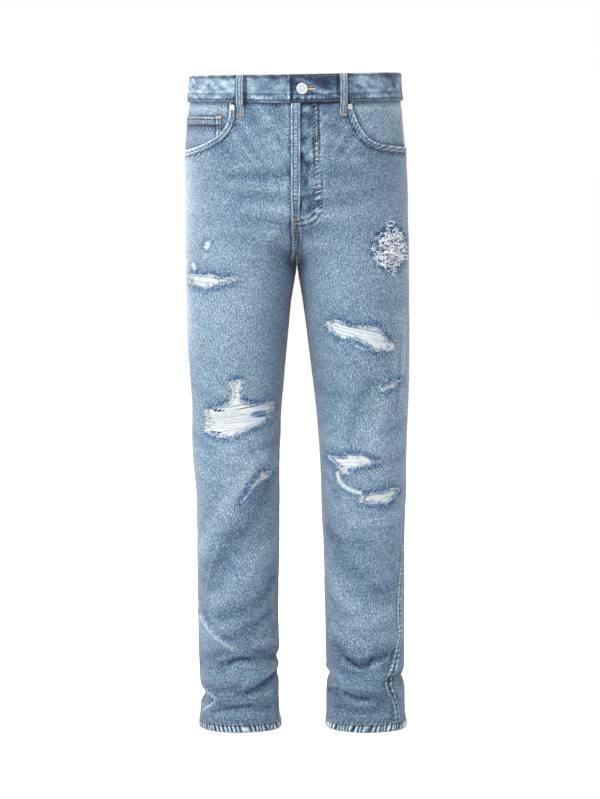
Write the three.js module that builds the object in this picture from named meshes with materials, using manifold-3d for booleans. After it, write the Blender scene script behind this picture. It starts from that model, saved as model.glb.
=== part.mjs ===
import * as THREE from "three";
import Module from "manifold-3d";

// Ripped five-pocket jeans, filled out as if worn, with no wearer inside. Millimetres, +Z up.
// The front faces -Y and the wearer's right leg is on the -X side. Heights count up from the
// hems; the part's origin is the middle of the waist opening, halfway up the waistband.

const LENGTH = 1050; // hem to the top of the waistband
const BAND_HEIGHT = 40;
const HEM_HEIGHT = 13;
const CROTCH = 757;
const FRONT_RISE = 120; // height over which the rise seam curves from the crotch to the front
const BACK_RISE = 150;
const YOKE_AT_SIDE = 968; // height of the yoke seam at the outseam
const YOKE_AT_BACK = 932; // and at the seat seam
const STACK_TOP = 208; // the folds stacked over the ankles end here
const LEG_RADIUS = 66; // mean radius of a lower leg, turns angles into distances round it
const FLY_BOTTOM = 822;

const DENIM = 2; // one layer of denim with its nap
const FOLDED = 3; // hems and waistband, several layers
const GAP = 0.3; // between pieces that are sewn together
const BAND_PROUD = 0.8; // how far hems and waistband stand out of the panels
const LOOP_WIDTH = 12.5;
const BUTTON_RADIUS = 8.6;
const RIVET_RADIUS = 4.2;

const HOLD_HEIGHT = LENGTH - BAND_HEIGHT / 2; // height of the origin
const BAND_BOTTOM = LENGTH - BAND_HEIGHT;
const SIGN = { right: -1, left: 1 };
const DEGREE = Math.PI / 180;

// The filled-out form at some heights: outer and inner reach of the right leg and of the left leg
// from the middle plane, front and back depth, and how square the section is (2 is an ellipse).
const STATIONS = [
  { height: 0, right: [158.5, 27.5], left: [177, 48], front: -60, back: 72, square: 2.1 },
  { height: 60, right: [157, 29], left: [175, 48], front: -61, back: 72, square: 2.1 },
  { height: 130, right: [160, 28.5], left: [175, 47], front: -62, back: 73, square: 2.1 },
  { height: 205, right: [161, 30.5], left: [175, 46], front: -63, back: 75, square: 2.1 },
  { height: 290, right: [162, 29], left: [175, 43.5], front: -65, back: 78, square: 2.1 },
  { height: 370, right: [162.5, 29], left: [175.5, 40.5], front: -69, back: 76, square: 2.1 },
  { height: 450, right: [168.5, 29], left: [176.5, 37.5], front: -75, back: 71, square: 2.12 },
  { height: 530, right: [169, 25], left: [179.5, 31], front: -80, back: 70, square: 2.14 },
  { height: 610, right: [174.5, 18.5], left: [180.5, 21], front: -87, back: 77, square: 2.16 },
  { height: 690, right: [177, 10.5], left: [180.5, 11], front: -94, back: 89, square: 2.2 },
  { height: 757, right: [178.5, 0.2], left: [180.3, 0.2], front: -100, back: 110, square: 2.25 },
  { height: 820, right: [179.5, 0], left: [179.5, 0], front: -104, back: 136, square: 2.3 },
  { height: 885, right: [179.5, 0], left: [178, 0], front: -106, back: 146, square: 2.35 },
  { height: 935, right: [179.5, 0], left: [175.5, 0], front: -105, back: 140, square: 2.35 },
  { height: 975, right: [177, 0], left: [171.5, 0], front: -104, back: 129, square: 2.35 },
  { height: 1010, right: [174, 0], left: [168.5, 0], front: -102, back: 119, square: 2.35 },
  { height: 1055, right: [171, 0], left: [166, 0], front: -100, back: 112, square: 2.35 },
];

// Seams below the crotch, as [height, degrees round the leg]: 0 is its outer side, 90 the front.
const OUTSEAM = {
  right: [[0, -8], [400, -8], [LENGTH, -8]],
  left: [[0, 38], [45, 42], [80, 56], [130, 36], [230, 30], [420, -2], [600, -8], [LENGTH, -8]],
};
const INSEAM = {
  right: [[0, 160], [180, 162], [330, 176], [CROTCH, 180], [LENGTH, 180]],
  left: [[0, 196], [180, 194], [400, 183], [CROTCH, 180], [LENGTH, 180]],
};

// The largest folds, each a soft ridge or trough along a line of [degrees, height] points.
const FOLDS = {
  right: [
    { line: [[21, 190], [50, 163], [82, 138]], width: 10, rise: 3.5 },
    { line: [[64, 106], [90, 118], [138, 120], [200, 112]], width: 8, rise: -4.5 },
    { line: [[12, 104], [45, 120], [79, 130]], width: 8, rise: -3.5 },
    { line: [[30, 88], [92, 92], [150, 98]], width: 11, rise: 3 },
    { line: [[92, 64], [120, 78], [147, 92], [190, 88]], width: 8, rise: -4 },
    { line: [[-70, 60], [-30, 54], [20, 54]], width: 10, rise: -8 },
    { line: [[48, 48], [79, 38], [137, 39]], width: 7, rise: -3 },
    { line: [[66, 172], [95, 195], [128, 225]], width: 13, rise: 3 },
    { line: [[-140, 128], [-95, 112], [-45, 124]], width: 10, rise: -4.5 },
    { line: [[-150, 86], [-100, 74], [-60, 88]], width: 10, rise: 3.5 },
    { line: [[-165, 46], [-120, 40], [-80, 50]], width: 9, rise: -3.5 },
    { line: [[-150, 180], [-110, 160], [-60, 172]], width: 13, rise: 3 },
  ],
  left: [
    { line: [[138, 137], [102, 108], [75, 119], [50, 127]], width: 9, rise: -5.5 },
    { line: [[140, 168], [105, 142], [70, 148], [35, 158]], width: 11, rise: 3 },
    { line: [[167, 62], [103, 58], [62, 52]], width: 8, rise: -4 },
    { line: [[165, 100], [120, 82], [80, 84], [50, 96]], width: 10, rise: 3.5 },
    { line: [[-40, 92], [0, 84], [28, 80]], width: 9, rise: -5 },
    { line: [[160, 90], [182, 84], [215, 90]], width: 9, rise: -5 },
    { line: [[58, 108], [60, 80], [40, 46]], width: 7, rise: -3 },
    { line: [[-140, 130], [-90, 112], [-45, 126]], width: 10, rise: -4.5 },
    { line: [[-150, 60], [-95, 48], [-40, 56]], width: 9, rise: -4 },
    { line: [[-145, 96], [-95, 82], [-50, 92]], width: 10, rise: 3.5 },
  ],
};

// Front pocket mouths as [reach, height], from the waistband round to the outseam.
const MOUTH = {
  right: [[106, 1015], [106, 998], [109, 979], [117, 965], [126, 956], [143, 946], [159, 939], [190, 930]],
  left: [[86, 1015], [88, 998], [94, 982], [102, 966], [112, 954], [123, 947], [140, 942], [190, 937]],
};
const FACING_UNDERLAP = 12; // how far a pocket facing runs on behind its mouth
const COIN_POCKET = { inner: 120.5, top: 985 };

// Rips in the two front panels as [reach, height] outlines; each is still spanned by its weft threads.
const RIPS = {
  right: {
    thigh: [[167, 737], [138, 738], [127, 733], [103, 734], [102, 728], [129, 721], [144, 716], [167, 720]],
    knee: [
      [105, 567], [90, 571], [93, 553], [89, 533], [83, 529], [41, 533], [47, 509], [57, 499],
      [85, 488], [103, 479], [121, 478], [144, 487], [140, 505], [142, 523], [103, 530], [98, 552],
    ],
    below_knee: [[41, 417], [67, 400], [91, 368], [69, 406], [57, 421]],
  },
  left: {
    upper_thigh: [[155, 808], [171, 791], [172, 771], [152, 744], [118, 779]],
    thigh: [
      [51, 662], [63, 666], [81, 657], [126, 655], [134, 643], [149, 629],
      [144, 617], [126, 617], [110, 629], [93, 636], [71, 637], [57, 647],
    ],
    above_knee: [[137, 552], [138, 560], [151, 568], [163, 568], [153, 557]],
    knee: [
      [50, 446], [76, 445], [84, 451], [104, 451], [118, 443], [130, 439],
      [107, 432], [90, 429], [79, 426], [76, 419], [69, 433], [62, 439],
    ],
    below_knee: [[105, 374], [107, 383], [119, 388], [136, 388], [152, 395], [162, 391], [156, 382], [145, 371]],
  },
};

const BACK_POCKET = { inner: 26, outer: 152, top: 912, bottom: 775, point: 757, taper: 9 };

// Belt loops: which side, reach from the middle plane, front or back.
const LOOPS = {
  belt_loop_front_right: { side: "right", reach: 88, facing: "front" },
  belt_loop_front_left: { side: "left", reach: 72, facing: "front" },
  belt_loop_back_right: { side: "right", reach: 94, facing: "back" },
  belt_loop_back_left: { side: "left", reach: 94, facing: "back" },
  belt_loop_centre: { side: "left", reach: 0, facing: "back" },
};

const wasm = await Module();
wasm.setup();

const cloth = (colour) => new THREE.MeshStandardMaterial({ color: colour, roughness: 0.95, metalness: 0 });
const DENIM_BLUE = () => cloth(0x7d97b1);
const FADED_BLUE = () => cloth(0x9db2c6);
const DARK_BLUE = () => cloth(0x5d7894);
const THREAD_WHITE = () => cloth(0xe2e7e6);
const SILVER = () => new THREE.MeshStandardMaterial({ color: 0xc9ccce, roughness: 0.3, metalness: 1 });

const jeans = new THREE.Group();
jeans.name = "ripped_jeans";

// ---- numbers ----

const clamp01 = (t) => Math.min(1, Math.max(0, t));

function ease(t) {
  const s = clamp01(t);
  return s * s * (3 - 2 * s);
}

// A smooth curve through a table's [height, value] pairs.
function smoothThrough(pairs, height) {
  const last = pairs.length - 2;
  let i = 0;
  while (i < last && height >= pairs[i + 1][0]) i += 1;
  const slopeAt = (k) => {
    const [a, b] = [pairs[Math.max(0, k - 1)], pairs[Math.min(pairs.length - 1, k + 1)]];
    return (b[1] - a[1]) / (b[0] - a[0]);
  };
  const span = pairs[i + 1][0] - pairs[i][0];
  const t = clamp01((height - pairs[i][0]) / span);
  const [t2, t3] = [t * t, t * t * t];
  return (
    (2 * t3 - 3 * t2 + 1) * pairs[i][1] +
    (t3 - 2 * t2 + t) * span * slopeAt(i) +
    (3 * t2 - 2 * t3) * pairs[i + 1][1] +
    (t3 - t2) * span * slopeAt(i + 1)
  );
}

const column = (pick) => STATIONS.map((station) => [station.height, pick(station)]);
const FORM = {
  right: { outer: column((s) => s.right[0]), inner: column((s) => s.right[1]) },
  left: { outer: column((s) => s.left[0]), inner: column((s) => s.left[1]) },
  front: column((s) => s.front),
  back: column((s) => s.back),
  square: column((s) => s.square),
};

// ---- the form ----

// How far the rise seam has come forward or back at a height: 0 at the crotch, 1 at the full depth.
function riseShare(height, rise) {
  const climb = clamp01((height - CROTCH) / rise);
  return Math.sqrt(1 - (1 - climb) ** 2);
}

// The angle at which the section of one leg meets the middle plane, above the crotch.
function riseAngle(height, rise) {
  return Math.PI - Math.asin(riseShare(height, rise) ** (smoothThrough(FORM.square, height) / 2));
}

// A point of the smooth form, with x as the reach from the middle plane.
function section(side, angle, height) {
  const outer = smoothThrough(FORM[side].outer, height);
  const inner = height < CROTCH ? smoothThrough(FORM[side].inner, height) : 0;
  const front = smoothThrough(FORM.front, height);
  const back = smoothThrough(FORM.back, height);
  const power = 2 / smoothThrough(FORM.square, height);
  const [c, s] = [Math.cos(angle), Math.sin(angle)];
  const rise = s >= 0 ? FRONT_RISE : BACK_RISE;
  const centre = ((outer + inner) / 2) * (1 - ease((height - CROTCH) / rise));
  const share = Math.abs(c) ** power;
  const y = (front + back) / 2 - (Math.sign(s) * (back - front) * Math.abs(s) ** power) / 2;
  if (c >= 0) return new THREE.Vector2(centre + (outer - centre) * share, y);
  if (height < CROTCH) return new THREE.Vector2(centre - (centre - inner) * share, y);
  const fullShare = Math.abs(Math.cos(riseAngle(height, rise))) ** power;
  return new THREE.Vector2(centre * (1 - share / Math.max(fullShare, 1e-6)), y);
}

// The horizontal direction straight out of the form.
function outward(side, angle, height) {
  const step = 0.01;
  const along = section(side, angle + step, height).sub(section(side, angle - step, height));
  return new THREE.Vector2(-along.y, along.x).normalize();
}

function distanceToLine(line, angle, height) {
  let nearest = Infinity;
  for (let i = 0; i + 1 < line.length; i += 1) {
    const turn = angle - line[i][0] * DEGREE;
    const x = Math.atan2(Math.sin(turn), Math.cos(turn)) * LEG_RADIUS;
    const y = height - line[i][1];
    const dx = (line[i + 1][0] - line[i][0]) * DEGREE * LEG_RADIUS;
    const dy = line[i + 1][1] - line[i][1];
    const t = clamp01((x * dx + y * dy) / (dx * dx + dy * dy));
    nearest = Math.min(nearest, Math.hypot(x - t * dx, y - t * dy));
  }
  return nearest;
}

function foldRise(side, angle, height) {
  let rise = 0;
  for (const fold of FOLDS[side]) {
    rise += fold.rise * Math.exp(-((distanceToLine(fold.line, angle, height) / fold.width) ** 2));
  }
  return rise;
}

// A point in the part's own frame, moved out of the folded form by some millimetres.
function onForm(side, angle, height, out) {
  const point = section(side, angle, height);
  point.addScaledVector(outward(side, angle, height), out + foldRise(side, angle, height));
  return new THREE.Vector3(SIGN[side] * point.x, point.y, height - HOLD_HEIGHT);
}

// The angle where the front (or back) of one side reaches so far from the middle plane.
function angleAt(side, reach, height, facing) {
  const turn = facing === "front" ? 1 : -1;
  let [low, high] = [0, Math.PI];
  for (let i = 0; i < 30; i += 1) {
    const middle = (low + high) / 2;
    if (section(side, turn * middle, height).x > reach) low = middle;
    else high = middle;
  }
  return turn * low;
}

// The angle moved half a seam gap along the cloth.
function trimmed(side, angle, height, turn) {
  const edge = section(side, angle, height);
  let [low, high] = [0, 0.05];
  for (let i = 0; i < 20; i += 1) {
    const middle = (low + high) / 2;
    if (section(side, angle + turn * middle, height).distanceTo(edge) < GAP / 2) low = middle;
    else high = middle;
  }
  return angle + turn * high;
}

// ---- solids ----

// A closed solid from points and faces, turned to face out.
function solidFrom(points, faces) {
  let volume = 0;
  for (const [a, b, c] of faces) volume += points[a].dot(points[b].clone().cross(points[c]));
  const vertProperties = new Float32Array(points.flatMap((p) => [p.x, p.y, p.z]));
  const triVerts = new Uint32Array(faces.flatMap(([a, b, c]) => (volume < 0 ? [a, c, b] : [a, b, c])));
  return new wasm.Manifold(new wasm.Mesh({ numProp: 3, vertProperties, triVerts }));
}

// A wall of cloth between two equal grids of points; a closed wall joins its last column to its first.
function wall(outside, inside, closed = false) {
  const [rows, columns] = [outside.length, outside[0].length];
  const points = [...outside.flat(), ...inside.flat()];
  const faces = [];
  const at = (layer, row, col) => (layer * rows + row) * columns + (col % columns);
  const quad = (a, b, c, d) => faces.push([a, b, c], [a, c, d]);
  const across = closed ? columns : columns - 1;
  for (let col = 0; col < across; col += 1) {
    for (let row = 0; row + 1 < rows; row += 1) {
      quad(at(0, row, col), at(0, row, col + 1), at(0, row + 1, col + 1), at(0, row + 1, col));
      quad(at(1, row, col), at(1, row + 1, col), at(1, row + 1, col + 1), at(1, row, col + 1));
    }
    quad(at(0, 0, col + 1), at(0, 0, col), at(1, 0, col), at(1, 0, col + 1));
    const top = rows - 1;
    quad(at(0, top, col), at(0, top, col + 1), at(1, top, col + 1), at(1, top, col));
  }
  for (let row = 0; row + 1 < rows && !closed; row += 1) {
    const end = columns - 1;
    quad(at(0, row, 0), at(0, row + 1, 0), at(1, row + 1, 0), at(1, row, 0));
    quad(at(0, row + 1, end), at(0, row, end), at(1, row, end), at(1, row + 1, end));
  }
  return solidFrom(points, faces);
}

// The straight solid between two placings of one flat outline.
function between(outline, near, far) {
  const flat = outline.map(([x, y]) => new THREE.Vector2(x, y));
  if (THREE.ShapeUtils.isClockWise(flat)) flat.reverse();
  const count = flat.length;
  const points = [...flat.map(near), ...flat.map(far)];
  const caps = THREE.ShapeUtils.triangulateShape(flat, []);
  const faces = caps.flatMap(([a, b, c]) => [[a, b, c], [a + count, c + count, b + count]]);
  for (let i = 0; i < count; i += 1) {
    const next = (i + 1) % count;
    faces.push([i, i + count, next], [next, i + count, next + count]);
  }
  return solidFrom(points, faces);
}

// A cutter right through the front (or back) of one side, from an outline of [reach, height] points.
function cutter(side, outline, facing = "front") {
  const [near, far] = facing === "front" ? [-250, 60] : [250, -20];
  const place = (depth) => (p) => new THREE.Vector3(SIGN[side] * p.x, depth, p.y - HOLD_HEIGHT);
  return between(outline, place(near), place(far));
}

// An outline moved in by a distance, edge by edge.
function movedIn(outline, distance) {
  const flat = outline.map(([x, y]) => new THREE.Vector2(x, y));
  if (THREE.ShapeUtils.isClockWise(flat)) flat.reverse();
  return flat.map((point, i) => {
    const before = point.clone().sub(flat.at(i - 1)).normalize();
    const after = flat[(i + 1) % flat.length].clone().sub(point).normalize();
    const inward = new THREE.Vector2(-before.y - after.y, before.x + after.x).normalize();
    const reach = distance / Math.max(0.3, inward.dot(new THREE.Vector2(-before.y, before.x)));
    return [point.x + inward.x * reach, point.y + inward.y * reach];
  });
}

function add(name, solid, material) {
  const { numProp, vertProperties, triVerts } = solid.getMesh();
  const position = new Float32Array((vertProperties.length / numProp) * 3);
  for (let i = 0; i * 3 < position.length; i += 1) {
    position.set(vertProperties.subarray(i * numProp, i * numProp + 3), i * 3);
  }
  const geometry = new THREE.BufferGeometry();
  geometry.setAttribute("position", new THREE.BufferAttribute(position, 3));
  geometry.setIndex(new THREE.BufferAttribute(triVerts, 1));
  geometry.computeVertexNormals();
  const mesh = new THREE.Mesh(geometry, material);
  mesh.name = name;
  jeans.add(mesh);
}

// ---- leg panels ----

const STACK_ROWS = 13;
const LEG_ROWS = 14;
const HIP_ROWS = 10;
const FRONT_COLUMNS = 9;
const BACK_COLUMNS = 8;

const steps = (count, from, to) => Array.from({ length: count }, (_, i) => from + ((to - from) * i) / count);

// Height of the rise seam at a share of its length, from the crotch up to a panel's top.
function riseHeight(share, rise, depth, top) {
  const curved = (Math.PI / 4) * (rise + depth); // length of the rounded stretch
  const distance = share * (curved + top - CROTCH - rise);
  if (distance > curved) return CROTCH + rise + distance - curved;
  return CROTCH + rise * (1 - Math.cos((distance / curved) * (Math.PI / 2)));
}

// Rows of a panel as [height at the outseam, height at the inseam or rise seam].
function panelRows(facing) {
  const [rise, depth] = facing === "front" ? [FRONT_RISE, 105] : [BACK_RISE, 130];
  const [sideTop, riseTop] = facing === "front" ? [BAND_BOTTOM, BAND_BOTTOM] : [YOKE_AT_SIDE, YOKE_AT_BACK];
  const level = [
    ...steps(STACK_ROWS, HEM_HEIGHT + GAP / 2, STACK_TOP),
    ...steps(LEG_ROWS, STACK_TOP, CROTCH),
  ].map((height) => [height, height]);
  const raised = Array.from({ length: HIP_ROWS + 1 }, (_, i) => {
    const share = i / HIP_ROWS;
    const side = CROTCH + share * (sideTop - GAP / 2 - CROTCH);
    return [side, riseHeight(share, rise, depth, riseTop - GAP / 2)];
  });
  return [...level, ...raised];
}

// The angle of a panel's inner edge: inseam up to the crotch, rise seam above it.
function innerEdge(side, height, facing) {
  if (facing === "front") {
    if (height < CROTCH) return smoothThrough(INSEAM[side], height) * DEGREE;
    return riseAngle(height, FRONT_RISE);
  }
  if (height < CROTCH) return (smoothThrough(INSEAM[side], height) - 360) * DEGREE;
  return -riseAngle(height, BACK_RISE);
}

// One row of a panel, moved out of the form; the ends keep half a seam gap each.
function panelRow(side, facing, [sideHeight, innerHeight], columns, out) {
  const turn = facing === "front" ? 1 : -1;
  return Array.from({ length: columns + 1 }, (_, i) => {
    const share = i / columns;
    const height = sideHeight + (innerHeight - sideHeight) * share;
    const outer = trimmed(side, smoothThrough(OUTSEAM[side], height) * DEGREE, height, turn);
    const inner = trimmed(side, innerEdge(side, height, facing), height, -turn);
    return onForm(side, outer + (inner - outer) * share, height, out);
  });
}

function panelWall(side, facing, outer, inner) {
  const columns = facing === "front" ? FRONT_COLUMNS : BACK_COLUMNS;
  const layer = (out) => panelRows(facing).map((row) => panelRow(side, facing, row, columns, out));
  return wall(layer(outer), layer(inner));
}

const edgeCurve = (points) =>
  new THREE.SplineCurve(points.map(([x, y]) => new THREE.Vector2(x, y))).getPoints(14).map((p) => [p.x, p.y]);

// The open corner of a front panel, outside the mouth of its pocket.
function mouthOutline(side, underlap = 0) {
  const edge = edgeCurve(MOUTH[side]).map(([x, y]) => [x - underlap, y - underlap]);
  return [...edge, [200, 930 - underlap], [200, 1030], [edge[0][0], 1030]];
}

function addFront(side) {
  let panel = panelWall(side, "front", 0, -DENIM).subtract(cutter(side, mouthOutline(side)));
  for (const outline of Object.values(RIPS[side])) panel = panel.subtract(cutter(side, outline));
  add(`front_leg_${side}`, panel, DENIM_BLUE());
}

// The weft threads left across each rip, a thin web inside its edges.
function addRipThreads(side) {
  const layer = panelWall(side, "front", -0.3, -1.5);
  for (const [place, outline] of Object.entries(RIPS[side])) {
    add(`rip_threads_${side}_${place}`, layer.intersect(cutter(side, movedIn(outline, GAP))), THREAD_WHITE());
  }
}

function addFacing(side) {
  const layer = panelWall(side, "front", -DENIM - GAP, -2 * DENIM - GAP);
  add(`pocket_facing_${side}`, layer.intersect(cutter(side, mouthOutline(side, FACING_UNDERLAP))), FADED_BLUE());
}

function addCoinPocket() {
  const { inner, top } = COIN_POCKET;
  const layer = panelWall("right", "front", -GAP, -DENIM);
  const patch = cutter("right", [[inner, top], [200, top], [200, 900], [inner, 900]]);
  const opening = cutter("right", movedIn(mouthOutline("right"), 2 * GAP));
  add("coin_pocket", layer.intersect(opening).intersect(patch), FADED_BLUE());
}

function addBack(side) {
  add(`back_leg_${side}`, panelWall(side, "back", 0, -DENIM), DENIM_BLUE());
}

function addBackPocket(side) {
  const { inner, outer, top, bottom, point, taper } = BACK_POCKET;
  const middle = (inner + outer) / 2;
  const outline = [
    [inner, top - 6], [outer, top + 4], [outer - taper, bottom], [middle, point], [inner + taper, bottom],
  ];
  const layer = panelWall(side, "back", DENIM + GAP, GAP);
  add(`back_pocket_${side}`, layer.intersect(cutter(side, outline, "back")), DENIM_BLUE());
}

function addYoke(side) {
  const rows = [0, 1 / 3, 2 / 3, 1].map((share) => {
    const rise = (from) => from + GAP / 2 + share * (BAND_BOTTOM - from - GAP);
    return [rise(YOKE_AT_SIDE), rise(YOKE_AT_BACK)];
  });
  const layer = (out) => rows.map((row) => panelRow(side, "back", row, BACK_COLUMNS, out));
  add(`yoke_${side}`, wall(layer(0), layer(-DENIM)), DENIM_BLUE());
}

// ---- hems, waistband and fly ----

const HEM_COLUMNS = 28;

function addHem(side) {
  const layer = (out) =>
    [0, HEM_HEIGHT - GAP / 2].map((height) =>
      Array.from({ length: HEM_COLUMNS }, (_, i) => onForm(side, (i / HEM_COLUMNS) * 2 * Math.PI, height, out)),
    );
  add(`hem_${side}`, wall(layer(BAND_PROUD), layer(BAND_PROUD - FOLDED), true), DENIM_BLUE());
}

const BAND_COLUMNS = 44;
const BAND_START = -0.03; // turn from the front centre, towards the wearer's left, of the buttonhole end
const BAND_END = 0.1; // and, after a whole turn, of the end beneath it
const OVERLAP_OUT = 2.2;
const OVERLAP_IN = -1.6;
const FLY_CLEAR = 1; // between the fly edge and the panels it laps over

// A place round the waist, by its turn from the front centre towards the wearer's left.
function roundWaist(turn) {
  const around = (turn + 2 * Math.PI) % (2 * Math.PI);
  if (around <= Math.PI) return ["left", Math.PI / 2 - around];
  return ["right", around - 1.5 * Math.PI];
}

function addWaistband() {
  const layer = (out) =>
    [BAND_BOTTOM + GAP / 2, LENGTH].map((height) =>
      Array.from({ length: BAND_COLUMNS + 1 }, (_, i) => {
        const turn = BAND_START + (i / BAND_COLUMNS) * (2 * Math.PI + BAND_END - BAND_START);
        const over = OVERLAP_OUT * (1 - ease((turn - 0.12) / 0.25));
        const under = OVERLAP_IN * ease((turn - 2 * Math.PI + 0.37) / 0.25);
        return onForm(...roundWaist(turn), height, out + over + under);
      }),
    );
  add("waistband", wall(layer(BAND_PROUD), layer(BAND_PROUD - FOLDED)), DARK_BLUE());
}

// The left front's folded fly edge, a double strip that laps over the right front.
function addFly() {
  const reaches = [-8, -4, 0, 5]; // across the strip, the wearer's right side negative
  const heights = [...steps(8, FLY_BOTTOM, BAND_BOTTOM - GAP / 2), BAND_BOTTOM - GAP / 2];
  const layer = (out) =>
    heights.map((height) =>
      reaches.map((reach) => {
        const side = reach < 0 ? "right" : "left";
        const angle = Math.min(angleAt(side, Math.abs(reach), height, "front"), riseAngle(height, FRONT_RISE));
        return onForm(side, angle, height, out);
      }),
    );
  add("fly_edge", wall(layer(DENIM + FLY_CLEAR), layer(FLY_CLEAR)), FADED_BLUE());
}

// ---- belt loops, button and rivets ----

// A belt loop's side view as [distance out of the form, height]: sewn down at both ends.
const LOOP_PROFILE = [
  [0.5, 988], [2.3, 988], [2.4, 1000], [9.2, 1008], [9.4, 1042], [4.2, 1051.4], [1.2, 1051.4],
  [1.2, 1047], [7.6, 1040], [7.4, 1011], [0.5, 1003],
];

function addLoop(name, { side, reach, facing }) {
  const middle = angleAt(side, reach, HOLD_HEIGHT, facing);
  const out = outward(side, middle, HOLD_HEIGHT);
  const along = new THREE.Vector3(-out.y * SIGN[side], out.x, 0).multiplyScalar(LOOP_WIDTH / 2);
  const place = (way) => (p) => {
    const angle = angleAt(side, reach, p.y, facing);
    return onForm(side, angle, p.y, p.x).addScaledVector(along, way);
  };
  add(name, between(LOOP_PROFILE, place(-1), place(1)), DENIM_BLUE());
}

// A turned piece standing on the cloth, its profile as [radius, distance out] from the axis to the axis.
function addTurned(name, profile, segments, side, reach, height, out) {
  const geometry = new THREE.LatheGeometry(profile.map(([r, d]) => new THREE.Vector2(r, d)), segments);
  const angle = angleAt(side, reach, height, "front");
  const normal = outward(side, angle, height);
  const mesh = new THREE.Mesh(geometry, SILVER());
  mesh.name = name;
  mesh.position.copy(onForm(side, angle, height, out));
  mesh.quaternion.setFromUnitVectors(
    new THREE.Vector3(0, 1, 0),
    new THREE.Vector3(normal.x * SIGN[side], normal.y, 0),
  );
  jeans.add(mesh);
}

function addButton() {
  const r = BUTTON_RADIUS;
  const profile = [[0, 0], [r - 2.2, 0], [r - 0.4, 0.7], [r, 1.5], [r - 0.4, 2.2], [r - 1.4, 2.6], [r - 2.4, 2.2], [0, 2]];
  addTurned("button", profile, 32, "left", 8, 1030, BAND_PROUD + OVERLAP_OUT + GAP);
}

function addRivet(side, reach, height) {
  const r = RIVET_RADIUS;
  const profile = [[0, 0], [r, 0], [r, 0.5], [r - 0.9, 1.1], [1.6, 1.2], [1.3, 1.7], [0, 1.8]];
  addTurned(`rivet_${side}`, profile, 20, side, reach, height, 2 * GAP);
}

for (const side of ["right", "left"]) {
  addFront(side);
  addRipThreads(side);
  addFacing(side);
  addBack(side);
  addBackPocket(side);
  addYoke(side);
  addHem(side);
}
addCoinPocket();
addWaistband();
addFly();
for (const [name, loop] of Object.entries(LOOPS)) addLoop(name, loop);
addButton();
addRivet("right", 101, 1002);
addRivet("left", 83, 1003);

export default jeans;
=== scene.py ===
"""Ripped jeans, filled out as worn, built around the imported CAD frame.

Lengths are in millimetres inside the form functions and in metres on the Blender side. Angles go
round a leg: 0 is its outer side, 90 degrees the front, 180 the inner side. Heights count up from
the hems, and reach is the distance from the middle plane of the body.
"""

import math

import bpy
import numpy as np
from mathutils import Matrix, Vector


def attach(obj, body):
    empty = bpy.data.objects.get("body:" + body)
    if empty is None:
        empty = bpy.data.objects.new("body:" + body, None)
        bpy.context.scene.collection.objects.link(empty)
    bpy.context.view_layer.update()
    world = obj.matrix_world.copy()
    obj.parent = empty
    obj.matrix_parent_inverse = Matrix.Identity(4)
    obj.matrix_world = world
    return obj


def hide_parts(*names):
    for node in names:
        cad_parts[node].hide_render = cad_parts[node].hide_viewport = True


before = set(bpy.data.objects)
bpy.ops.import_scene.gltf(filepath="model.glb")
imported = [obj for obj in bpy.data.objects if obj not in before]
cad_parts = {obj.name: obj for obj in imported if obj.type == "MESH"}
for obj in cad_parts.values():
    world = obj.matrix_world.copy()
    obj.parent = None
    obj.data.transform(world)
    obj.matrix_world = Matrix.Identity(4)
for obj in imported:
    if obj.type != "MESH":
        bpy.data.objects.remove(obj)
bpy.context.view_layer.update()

MM = 0.001
DEGREE = math.pi / 180
SIGN = {"right": -1.0, "left": 1.0}

# ---- the form, as in the imported CAD ----

LENGTH = 1050.0
BAND_HEIGHT = 40.0
HEM_HEIGHT = 13.0
CROTCH = 757.0
FRONT_RISE = 120.0
BACK_RISE = 150.0
YOKE_AT_SIDE = 968.0
YOKE_AT_BACK = 932.0
LEG_RADIUS = 66.0
FLY_BOTTOM = 822.0
HOLD_HEIGHT = LENGTH - BAND_HEIGHT / 2
BAND_BOTTOM = LENGTH - BAND_HEIGHT
HALVINGS = 26  # steps of a search for an angle

# height: right outer, right inner, left outer, left inner, front, back, squareness
STATIONS = {
    0: (158.5, 27.5, 177, 48, -60, 72, 2.1),
    60: (157, 29, 175, 48, -61, 72, 2.1),
    130: (160, 28.5, 175, 47, -62, 73, 2.1),
    205: (161, 30.5, 175, 46, -63, 75, 2.1),
    290: (162, 29, 175, 43.5, -65, 78, 2.1),
    370: (162.5, 29, 175.5, 40.5, -69, 76, 2.1),
    450: (168.5, 29, 176.5, 37.5, -75, 71, 2.12),
    530: (169, 25, 179.5, 31, -80, 70, 2.14),
    610: (174.5, 18.5, 180.5, 21, -87, 77, 2.16),
    690: (177, 10.5, 180.5, 11, -94, 89, 2.2),
    757: (178.5, 0.2, 180.3, 0.2, -100, 110, 2.25),
    820: (179.5, 0, 179.5, 0, -104, 136, 2.3),
    885: (179.5, 0, 178, 0, -106, 146, 2.35),
    935: (179.5, 0, 175.5, 0, -105, 140, 2.35),
    975: (177, 0, 171.5, 0, -104, 129, 2.35),
    1010: (174, 0, 168.5, 0, -102, 119, 2.35),
    1055: (171, 0, 166, 0, -100, 112, 2.35),
}
COLUMNS = ("right outer", "right inner", "left outer", "left inner", "front", "back", "square")
FORM = {name: [(h, row[i]) for h, row in STATIONS.items()] for i, name in enumerate(COLUMNS)}

OUTSEAM = {
    "right": [(0, -8), (400, -8), (LENGTH, -8)],
    "left": [(0, 38), (45, 42), (80, 56), (130, 36), (230, 30), (420, -2), (600, -8), (LENGTH, -8)],
}
INSEAM = {
    "right": [(0, 160), (180, 162), (330, 176), (CROTCH, 180), (LENGTH, 180)],
    "left": [(0, 196), (180, 194), (400, 183), (CROTCH, 180), (LENGTH, 180)],
}
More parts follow.
